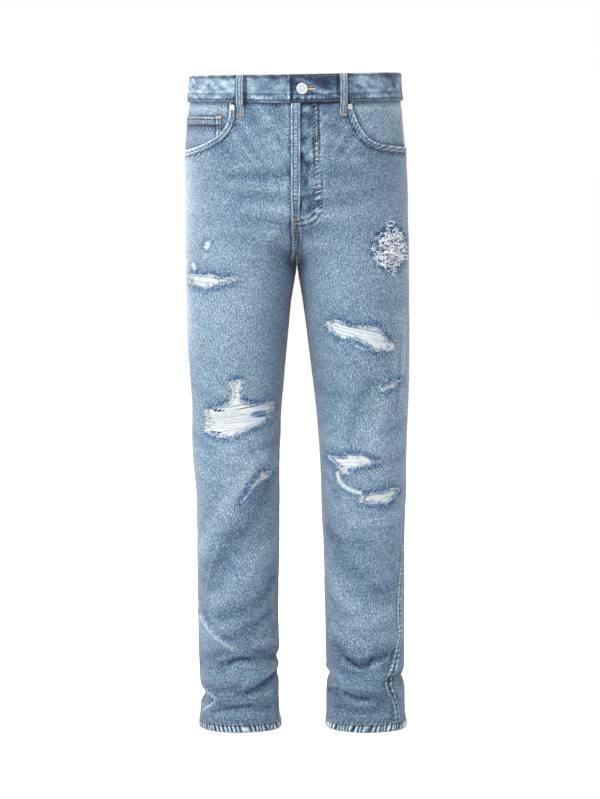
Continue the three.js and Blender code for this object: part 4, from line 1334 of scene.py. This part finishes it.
def belt_loop(name, side, reach, facing):
    path, across = loop_path(side, reach, facing, 46)
    path[:, 1] = np.clip(path[:, 1], 988, 1051.2)
    angle = angle_at(side, np.full(len(path), float(reach)), path[:, 1], facing)
    slope = unit(np.gradient(path, axis=0))
    s = np.linspace(-1, 1, 15)
    ridge = 0.35 * bell(np.abs(s), 0.72, 0.16) - 0.25 * bell(np.abs(s), 0.5, 0.08)
    ridge -= 0.3 * bell(np.abs(s), 1, 0.06)
    layers = []
    for bulge in (ridge, 0 * ridge - LOOP_THICKNESS):
        heights = path[:, :1] * 0 + path[:, 1:] - bulge * slope[:, :1]
        outs = path[:, :1] + bulge * slope[:, 1:]
        points = place(side, angle[:, None] + 0 * s, heights, 0, outs)
        layers.append(points + across * s[:, None])
    up, wide = np.broadcast_arrays(path[:, 1:], s)
    beside = np.abs(wide)
    tone = 0.48 + hills(beside, (0.36, 0.74, 0.13), (-0.50, 0.48, 0.12))
    tone += 0.12 * ripple(wide * 6, up, 5, 91) + hills(up, (0.25, 1051, 2), (0.2, 988, 2))
    # painted shade along both sides of the loop
    tone += 0.12 * bell(wide, 0, 0.25) - 0.75 * bell(beside, 1.02, 0.14)
    cloth = np.stack([wide * 6 + 7 * reach, up, 0 * up], -1)
    node = f"belt_loop_{name}"
    return strip(f"{node}_denim", node, "edge_denim", *layers, tone, cloth)


loops = {name: belt_loop(name, *where) for name, where in LOOPS.items()}

# ---- stitching ----

STITCH_HUMP = np.array([-0.5, 0.22, 0.42, 0.22, -0.5]) * MM
STITCH_RADIUS = np.array([0.6, 1, 1, 1, 0.6]) * 0.45 * MM
STITCH_SHARE = 0.74  # how much of the pitch one stitch covers
SATIN_RADIUS = 0.3 * MM
SLIT_RADIUS = 0.55 * MM
FRAY_RADIUS = 0.27 * MM
NET_RADIUS = 0.42 * MM


def walked(points):
    """How far along a line each of its points is."""
    return np.concatenate([[0], np.cumsum(np.linalg.norm(np.diff(points, axis=0), axis=1))])


def sampled(points, span, at):
    """Points, or directions, at those distances along a line."""
    return np.stack([np.interp(at, span, column) for column in points.T], 1)


def row_round(side, angle, height, out, lift=None):
    """A row of stitching: its places, and its directions out of the cloth."""
    nx, ny = outward(side, angle, height)
    return place(side, angle, height, out, lift), np.stack([SIGN[side] * nx, ny, 0 * nx], -1)


def row_on(side, points, out):
    """A row of stitching through (reach, height) points of the front."""
    points = np.array(points, float)
    span = walked(points)
    fine = sampled(points, span, np.linspace(0, span[-1], max(2, int(span[-1] / 0.8))))
    return row_round(side, angle_at(side, fine[:, 0], fine[:, 1]), fine[:, 1], out)


def stitching(name, rows, material, pitch=3.4):
    """Rows of separate thread stitches, each a low hump that dives into the cloth."""
    rng = np.random.default_rng(len(name) * 7 + 1)
    paths, shades = [], []
    for points, normals in rows:
        span = walked(points)
        count = int(span[-1] / (pitch * MM))
        for i in range(count):
            t = (i + 0.5 + np.linspace(-0.5, 0.5, 5) * STITCH_SHARE) / count * span[-1]
            paths.append(sampled(points, span, t) + sampled(normals, span, t) * STITCH_HUMP[:, None])
            shades.append(rng.uniform(0.1, 0.9))
    piece = tubes(name, paths, STITCH_RADIUS, 4, np.repeat(shades, 5))
    return finish_piece(piece, material, "stitching")


def beside_mouth(side, away):
    edge = MOUTH_EDGE[side]
    along = unit(np.gradient(edge, axis=0))
    moved = edge + np.stack([along[:, 1], -along[:, 0]], 1) * away
    return moved[(moved[:, 1] < BAND_BOTTOM - 2) & (moved[:, 0] < 172)]


def beside_seam(side, seam, away, low, high):
    """A row beside a leg's long seam, so many millimetres from it."""
    height = np.arange(low, high, 1.5)
    middle = smooth_through(seam[side], height) * DEGREE
    return row_round(side, middle + away / stretch(side, middle, height), height, 0.1)


def band_row(up):
    turn = np.arange(BAND_START + 0.02, 2 * np.pi + BAND_START - 0.01, 0.006)
    height = np.full(turn.shape, BAND_BOTTOM + up)
    points = on_band(turn, height, 0.1)
    return points, (on_band(turn, height, 1.1) - points) / MM


def rise_row(away, facing, low, high):
    """A row beside the rise seam on the wearer's right."""
    height = np.arange(low, high, 1.5)
    rise, turn = (FRONT_RISE, 1) if facing == "front" else (BACK_RISE, -1)
    angle = np.abs(angle_at("right", np.full(height.shape, away), height, facing))
    return row_round("right", turn * np.minimum(angle, rise_angle(height, rise)), height, 0.1)


def yoke_row(side, away):
    share = np.linspace(0.01, 0.99, 120)
    height = YOKE_AT_SIDE + (YOKE_AT_BACK - YOKE_AT_SIDE) * share + away
    start, end = outer_edge(side, height), inner_edge(side, height, "back")
    return row_round(side, start + (end - start) * share, height, 0.1)


def pocket_row(side, inset):
    """Round a back pocket from its top corner down, across its point and up again."""
    s0, t1 = inset / POCKET_WIDTH, 1 - inset / POCKET_LENGTH
    s = np.concatenate([np.full(30, s0), np.linspace(s0, 1 - s0, 50), np.full(30, 1 - s0)])
    t = np.concatenate([np.linspace(0.01, t1, 30), np.full(50, t1), np.linspace(t1, 0.01, 30)])
    reach, height = back_pocket_places(s, t)
    return row_round(side, angle_at(side, reach, height, "back"), height, 2.3)


def hem_row(side):
    angle = np.linspace(0, 2 * np.pi, 400)
    height = np.full(400, HEM_ROW)
    return row_round(side, angle, height, 0.2, relief(side, angle, height) + 0.45)


def loop_rows(side, reach, facing):
    """The two rows down a belt loop."""
    path, across = loop_path(side, reach, facing, 60)
    path = path[(path[:, 1] > 990) & (path[:, 1] < 1049)]
    angle = angle_at(side, np.full(len(path), float(reach)), path[:, 1], facing)
    points, normal = row_round(side, angle, path[:, 1], 0.1, path[:, 0])
    return [(points + way * across, normal) for way in (-0.5, 0.5)]


def bartack(name, side, reach, height, wide, tall, out, facing="front", material=TAN_STITCH):
    """A dense block of satin stitches across the cloth; on both sides it crosses the rise."""
    count = int(wide / 0.45)
    t, u = np.meshgrid(np.linspace(-0.5, 0.5, count), np.linspace(-0.5, 0.5, 5), indexing="ij")
    x, h = reach + t * wide, height + u * tall
    lift = out + np.array([-0.3, 0.35, 0.55, 0.35, -0.3]) + 0 * x
    shade = np.random.default_rng(abs(int(reach)) + 3).uniform(0.15, 0.9, (count, 1)) + 0 * x
    if side == "both":
        paths = signed_place(x, h, lift)
    else:
        paths = place(side, angle_at(side, x, h, facing), h, 0, lift)
    return finish_piece(tubes(name, paths, SATIN_RADIUS, 4, shade), material, "stitching")


for side in SIGN:
    rows = [row_on(side, beside_mouth(side, away), 0.1) for away in (4.4, 9.6)]
    rows += [beside_seam(side, OUTSEAM, 1.6, 14, 1000)]
    rows += [beside_seam(side, INSEAM, away, 14, CROTCH - 4) for away in (1.8, -6.2)]
    rows += [yoke_row(side, away) for away in (1.8, 8.0)]
    rows += [pocket_row(side, inset) for inset in (2.2, 8.2)]
    stitching(f"seam_stitches_{side}", rows, TONAL_STITCH)
    stitching(f"hem_stitches_{side}", [hem_row(side)], TONAL_STITCH, pitch=3.0)
stitching("waistband_stitches", [band_row(2.9), band_row(BAND_HEIGHT - 2.9)], TONAL_STITCH, pitch=3.0)
J_LINE = [(25, 1008), (27, 960), (30, 900), (31.5, 860), (30, 840), (25, 828), (17, 823), (6, 822)]
J_OUTER = [(31, 1008), (33, 960), (36, 900), (37.5, 858), (35, 836), (28, 823), (18, 817.5), (6, 816.5)]
fly_rows = [rise_row(away, "front", CROTCH + 3, FLY_BOTTOM) for away in (1.6, 6.8)]
fly_rows += [rise_row(away, "back", CROTCH + 3, BAND_BOTTOM - 2) for away in (1.6, 7.8)]
fly_rows += [row_on("left", line, 0.1) for line in (J_LINE, J_OUTER)]
stitching("fly_stitches", fly_rows, TONAL_STITCH)
coin_lines = [([(COIN_INNER + 0.8, COIN_TOP - d), (173, COIN_TOP - d)], 0.3) for d in (2.2, 11)]
coin_lines += [([(COIN_INNER + d, COIN_TOP - 13), (COIN_INNER + d, 964)], 0.2) for d in (1.8, 5.4)]
coin_lines += [([(x, 1008), (x + 1, COIN_TOP + 1)], -1.9) for x in (120, 126)]
coin_rows = [row_on("right", line, out) for line, out in coin_lines]
stitching("coin_pocket_stitches", coin_rows, TAN_STITCH, pitch=3.0)
for name, (side, reach, facing) in LOOPS.items():
    stitching(f"belt_loop_stitches_{name}", loop_rows(side, reach, facing), TAN_STITCH, pitch=2.8)
    bartack(f"bartack_loop_{name}", side, reach, 991.5, 11, 2.4, 2.6, facing)
bartack("bartack_coin_pocket", "right", 123, COIN_TOP + 1, 9, 2.6, 0.3, material=OCHRE_STITCH)
for at in (832, 825, 818.5):
    bartack(f"bartack_fly_{int(at)}", "both", -1, at, 11, 2.0, 4.2)

# ---- button, buttonhole and rivets ----

BUTTON_HEIGHT = 1030
SLIT_HEIGHT = 1030.6


def turned(name, profile, segments, side, reach, height, out):
    """A turned piece standing on the cloth, its profile as (radius, distance out)."""
    angle = angle_at(side, reach, height)
    nx, ny = outward(side, angle, height)
    normal = np.array([SIGN[side] * nx, ny, 0.0])
    across = np.array([-normal[1], normal[0], 0.0])
    centre = place(side, np.array([angle]), np.array([float(height)]), out, 0.0)[0]
    ring = np.arange(segments) / segments * 2 * np.pi
    starts = np.cumsum([0] + [segments if radius else 1 for radius, _ in profile])
    points, faces = [], []
    for radius, far in profile:
        for turn in ring if radius else ring[:1]:
            offset = normal * far + radius * (np.cos(turn) * across + np.array([0, 0, np.sin(turn)]))
            points.append(tuple(centre + offset * MM))
    for k in range(len(profile) - 1):
        a, b = int(starts[k]), int(starts[k + 1])
        for i in range(segments):
            j = (i + 1) % segments
            if not profile[k][0]:
                faces.append((a, b + j, b + i))
            elif not profile[k + 1][0]:
                faces.append((a + i, a + j, b))
            else:
                faces.append((a + i, a + j, b + j, b + i))
    mesh = bpy.data.meshes.new(name)
    mesh.from_pydata(points, [], faces)
    mesh.polygons.foreach_set("use_smooth", np.ones(len(faces), bool))
    mesh.update()
    mesh.set_sharp_from_angle(angle=40 * DEGREE)
    piece = bpy.data.objects.new(name, mesh)
    bpy.context.scene.collection.objects.link(piece)
    return piece


BUTTON_OUT = BAND_PROUD + OVERLAP_OUT + 0.6
BUTTON_PROFILE = [
    (0, -0.2), (3.4, -0.2), (6.2, 0.1), (7.9, 0.8), (8.5, 1.4), (8.6, 1.8), (8.4, 2.2), (7.9, 2.5),
    (7.4, 2.45), (7.0, 2.2), (6.5, 2.1), (6.0, 2.15), (2.6, 2.3), (2.2, 2.2), (1.8, 2.3), (0, 2.34),
]
RIVET_PROFILE = [
    (0, -0.3), (3.9, -0.3), (4.2, 0.1), (4.1, 0.5), (3.4, 1.0),
    (2.3, 1.15), (1.9, 0.9), (1.5, 1.2), (1.1, 1.7), (0, 1.9),
]
button = turned("button_cap", BUTTON_PROFILE, 72, "left", 8, BUTTON_HEIGHT, BUTTON_OUT)
finish_piece(button, BUTTON_METAL, "button_metal", "button")
for side, reach, height in (("right", 101, 1002), ("left", 83, 1003)):
    rivet = turned(f"rivet_cap_{side}", RIVET_PROFILE, 40, side, reach, height, 1.3)
    finish_piece(rivet, RIVET_METAL, "rivet_metal", f"rivet_{side}")


def buttonhole():
    """Satin stitches along both lips of the slit, and a dark slit between them."""
    t, u = np.meshgrid(np.linspace(0, 1, 46), np.linspace(0, 1, 5), indexing="ij")
    x = 11.5 + 16.5 * t
    for lip, way, material in (("lower", -1, OCHRE_STITCH), ("upper", 1, TONAL_STITCH)):
        h = SLIT_HEIGHT + way * (0.5 + 2.4 * u)
        turn = np.pi / 2 - angle_at("left", x, h)
        paths = on_band(turn, h, np.array([-0.1, 0.5, 0.65, 0.5, -0.3]))
        shade = np.random.default_rng(97 + way).uniform(0.2, 1.0, (len(x), 1)) + 0 * x
        piece = tubes(f"buttonhole_{lip}", paths, SATIN_RADIUS, 4, shade)
        finish_piece(piece, material, "stitching")
    x = np.linspace(10, 28.5, 24)[None, :]
    h = np.full(x.shape, SLIT_HEIGHT)
    turn = np.pi / 2 - angle_at("left", x, h)
    slit = tubes("buttonhole_slit", on_band(turn, h, 0.05), SLIT_RADIUS, 6, 0 * x)
    finish_piece(slit, BLUE_YARN, "stitching")


buttonhole()

# ---- rips: white weft threads, frayed blue edges ----

# How the threads of a rip lie: tilt in degrees up towards the outer side, pitch, sag, waviness.
RIP_THREADS = {
    ("right", "thigh"): (2, 0.8, 0.02, 0.5),
    ("right", "knee"): (-9, 0.78, 0.035, 0.6),
    ("right", "below_knee"): (-38, 0.8, 0.01, 0.5),
    ("left", "upper_thigh"): (0, 1.5, 0.02, 1.5),
    ("left", "thigh"): (-13, 0.78, 0.02, 0.5),
    ("left", "above_knee"): (12, 0.9, 0.03, 0.7),
    ("left", "knee"): (3, 0.78, 0.01, 0.5),
    ("left", "below_knee"): (10, 0.8, 0.02, 0.6),
}
# Openings between the threads, as (reach, height, half width, half height).
RIP_GAPS = {
    ("right", "knee"): [(125, 521, 9, 3.0), (129, 486, 9, 2.4)],
    ("left", "thigh"): [(62, 656, 5, 1.6)],
    ("left", "upper_thigh"): [
        (132, 786, 5, 2.2), (136, 776, 5, 2.0), (152, 762, 4, 2.4), (163, 783, 4, 2.2), (150, 797, 5, 1.6),
    ],
}
# Places where a rip's threads are still blue, in the same form.
RIP_TONGUES = {("right", "knee"): [(55, 515, 18, 5.5)]}


def scan(outline, tilt, pitch):
    """Both ends of straight threads across an outline, laid at a tilt."""
    c, s = math.cos(tilt), math.sin(tilt)
    level = outline @ np.array([[c, -s], [s, c]])
    ends = []
    for y in np.arange(level[:, 1].min() + pitch / 2, level[:, 1].max(), pitch):
        (x0, y0), (x1, y1) = level.T, np.roll(level, -1, axis=0).T
        hit = (y0 > y) != (y1 > y)
        xs = np.sort(x0[hit] + (y - y0[hit]) * (x1[hit] - x0[hit]) / (y1[hit] - y0[hit]))
        ends += [((a, y), (b, y)) for a, b in zip(xs[::2], xs[1::2]) if b - a > 1.2]
    return np.array(ends) @ np.array([[c, s], [-s, c]])


def rip_threads(side, name):
    """Two layers of white weft threads across a rip."""
    tilt, pitch, sag, wave = RIP_THREADS[side, name]
    seed = 100 + 13 * len(name) + (side == "left")
    rng = np.random.default_rng(seed)
    t = np.linspace(0, 1, 15)[None, :]
    ends = scan(RAGGED[side][name], tilt * DEGREE, pitch)
    many = len(ends)
    order = np.arange(many)[:, None]
    start, way = ends[:, 0], ends[:, 1] - ends[:, 0]
    length = np.linalg.norm(way, axis=1, keepdims=True)
    paths, shades, radii = [], [], []
    for layer in range(2):
        extra = way / length * np.minimum(rng.uniform(1.0, 6.0, (many, 1)), 0.6 + 0.12 * length)
        flat = (start - extra)[:, None] + (way + 2 * extra)[:, None] * t[..., None]
        x, h = flat[..., 0], flat[..., 1]
        phase = rng.uniform(0, 2 * np.pi, (many, 1))
        h += wave * ripple(3.2 * t + 9 * layer, order * 0.35 + 7 * layer, 1, seed + layer)
        h += 0.25 * np.sin(5 * t + phase) - sag * length * 4 * t * (1 - t)
        h += rng.uniform(-0.3, 0.3, (many, 1))
        for reach, level, wide, tall in RIP_GAPS.get((side, name), []):
            up = (h - level) / tall
            room = np.sqrt(np.clip(1 - ((x - reach) / wide) ** 2, 0, None)) - np.abs(up)
            h += np.where(up >= 0, tall, -tall) * np.clip(room, 0, None)
        at_ends = 1 - ease(np.minimum(t, 1 - t) * length / 5)
        out = -0.45 - 0.75 * layer + (1.0 + 0.5 * layer) * at_ends
        out = out + 0.35 * ripple(x * 0.12, order * 0.7, 1, seed + 5)
        angle = angle_at(side, x, h)
        paths.append(place(side, angle, h, out, relief(side, angle, h) * 0.6))
        # the back layer is painted darker, as shade under the front layer
        shade = rng.uniform(0.62, 1.0, (many, 1)) - 0.12 * layer
        shade = shade + 0.1 * ripple(x * 0.3, order, 1, seed + 6)
        for reach, level, wide, tall in RIP_TONGUES.get((side, name), []):
            within = ((x - reach) / wide) ** 2 + ((h - level) / tall) ** 2 < 1
            shade = np.where(within, rng.uniform(0.15, 0.62, (many, 1)), shade)
        shades.append(shade)
        radii.append(rng.uniform(0.30, 0.48, (many, 1)) + 0 * shade)
    paths, shades, radii = (np.concatenate(v) for v in (paths, shades, radii))
    piece = tubes(f"weft_{side}_{name}", paths, radii * MM, 4, shades)
    return finish_piece(piece, RIP_YARN, "rip_threads", f"rip_threads_{side}_{name}")


def fringe(side, name):
    """Short broken yarns round a rip: blue warp above and below it, white weft at its ends."""
    outline = along_outline(np.array(RIPS[side][name], float), 0.42)
    seed = 300 + 17 * len(name) + (side == "left")
    rng = np.random.default_rng(seed)
    away = unit(np.gradient(outline, axis=0)) @ np.array([[0, -1], [1, 0]])
    probe = outline + away * 0.6
    away *= np.where(inside_outline(outline, probe[:, 0], probe[:, 1]), -1, 1)[:, None]
    outline, away = np.repeat(outline, 3, 0), np.repeat(away, 3, 0)
    many = len(outline)
    root = outline + away * (0.6 + 8.4 * rng.random((many, 1)) ** 1.3) + rng.normal(0, 0.5, (many, 2))
    warp = np.abs(away[:, 1]) > 0.45
    heading = np.where(warp[:, None], np.stack([rng.normal(0, 0.35, many), -np.sign(away[:, 1])], 1), -away)
    heading = heading + rng.normal(0, 0.25, (many, 2))
    length = rng.uniform(1.2, 3.4, (many, 1)) * np.where(rng.random((many, 1)) < 0.1, 2.2, 1)
    t = np.linspace(0, 1, 3)[None, :, None]
    curl = rng.normal(0, 0.9, (many, 1, 2)) * t**2
    flat = root[:, None] + heading[:, None] * length[:, None] * t + curl
    out = 0.05 + np.array([-0.3, 0.55, 0.35])[None, :] * rng.uniform(0.5, 1.3, (many, 1))
    good = (flat[..., 0] > 2).all(1) & (flat[..., 0] < section(side, 0.0, flat[..., 1])[0] - 2).all(1)
    flat, out, warp = flat[good], out[good], warp[good]
    angle = angle_at(side, flat[..., 0], flat[..., 1])
    pale = rng.random(len(flat)) < np.where(warp, 0.36, 0.7)
    light = np.where(warp, rng.uniform(0.45, 0.75, len(flat)), rng.uniform(0.7, 1.0, len(flat)))
    shade = np.where(pale, light, rng.uniform(0.08, 0.5, len(flat)))[:, None] + 0 * out
    piece = tubes(f"fray_{side}_{name}", place(side, angle, flat[..., 1], out), FRAY_RADIUS, 3, shade)
    return finish_piece(piece, RIP_YARN, "rip_threads")


def net():
    """Curled white and blue yarns of the worn net on the left upper thigh."""
    rng = np.random.default_rng(411)
    many = 400
    radius = np.sqrt(rng.random(many))
    way = rng.uniform(0, 2 * np.pi, many)
    squeeze = 1 / (np.abs(np.cos(way)) ** 1.3 + np.abs(np.sin(way)) ** 1.3) ** (1 / 1.3)
    radius *= squeeze
    aside, up = NET_WIDE * radius * np.cos(way), NET_TALL * radius * np.sin(way)
    root = np.stack([149 + aside, NET_HEIGHT + up], 1)
    white = rng.random(many) < 0.8 - 0.5 * radius
    heading = np.where(white, rng.normal(0, 0.7, many), np.pi / 2 + rng.normal(0, 0.4, many))
    length = rng.uniform(4, 11, many)
    t = np.linspace(-0.5, 0.5, 9)[None, :]
    bend = rng.normal(0, 2.6, (many, 1)) * (0.25 - t**2) * 4
    c, s = np.cos(heading)[:, None], np.sin(heading)[:, None]
    run = length[:, None] * t
    flat = root[:, None] + np.stack([c * run - s * bend, s * run + c * bend], -1)
    good = (flat[..., 0] < section("left", 0.0, flat[..., 1])[0] - 1.5).all(1)
    flat, white = flat[good], white[good]
    angle = angle_at("left", flat[..., 0], flat[..., 1])
    arch = 0.7 - 3.2 * t**2 + rng.uniform(-0.2, 0.5, (len(flat), 1))
    shade = np.where(white, rng.uniform(0.55, 0.95, len(flat)), rng.uniform(0.0, 0.4, len(flat)))
    shade = shade[:, None] + 0 * arch
    paths = place("left", angle, flat[..., 1], arch)
    for name, chosen, material in (("white", white, WHITE_YARN), ("blue", ~white, RIP_YARN)):
        piece = tubes(f"net_{name}_left_upper_thigh", paths[chosen], NET_RADIUS, 4, shade[chosen])
        finish_piece(piece, material, "rip_threads")


for side, rips in RIPS.items():
    for name in rips:
        rip_threads(side, name)
        fringe(side, name)
net()

# ---- stage, light and camera ----

EYE_HEIGHT = 910.0
EYE_DISTANCE = 4700.0
EYE_TILT = 4.59 * DEGREE
EYE_ASIDE = 4.9
LENS = 131.55


def stage():
    floor_z = -HOLD_HEIGHT * MM - 0.001
    bpy.ops.mesh.primitive_plane_add(size=400, location=(0, 0, floor_z))
    floor = bpy.context.object
    floor.name = "floor"
    n = Nodes("pale_floor")
    n.shader.inputs["Base Color"].default_value = (1.0, 1.0, 1.0, 1)
    n.shader.inputs["Roughness"].default_value = 1.0
    n.shader.inputs["Specular IOR Level"].default_value = 0.0
    floor.data.materials.append(n.material)
    world = bpy.data.worlds.new("white_room")
    world.use_nodes = True
    world.node_tree.nodes["Background"].inputs["Color"].default_value = (1, 1, 1, 1)
    world.node_tree.nodes["Background"].inputs["Strength"].default_value = 1.0
    bpy.context.scene.world = world


def area_light(name, location, size, power):
    data = bpy.data.lights.new(name, "AREA")
    data.energy, data.size = power, size
    lamp = bpy.data.objects.new(name, data)
    lamp.location = location
    lamp.visible_camera = False
    lamp.rotation_mode = "QUATERNION"
    lamp.rotation_quaternion = (Vector((0, 0, -0.5)) - Vector(location)).to_track_quat("-Z", "Y")
    bpy.context.scene.collection.objects.link(lamp)


def camera():
    data = bpy.data.cameras.new("camera")
    data.lens = LENS
    eye = bpy.data.objects.new("camera", data)
    eye.location = (EYE_ASIDE * MM, -EYE_DISTANCE * MM, (EYE_HEIGHT - HOLD_HEIGHT) * MM)
    eye.rotation_euler = (math.pi / 2 - EYE_TILT, 0, 0)
    bpy.context.scene.collection.objects.link(eye)
    bpy.context.scene.camera = eye


stage()
area_light("key", (-2.6, -2.3, 1.5), 1.1, 150)
area_light("fill", (2.8, -2.2, 0.4), 2.0, 14)
area_light("top_light", (-0.4, -1.3, 2.8), 1.2, 80)
area_light("back_light", (0.8, 3.0, 1.6), 1.8, 55)
camera()
bpy.context.scene.view_settings.view_transform = "Standard"
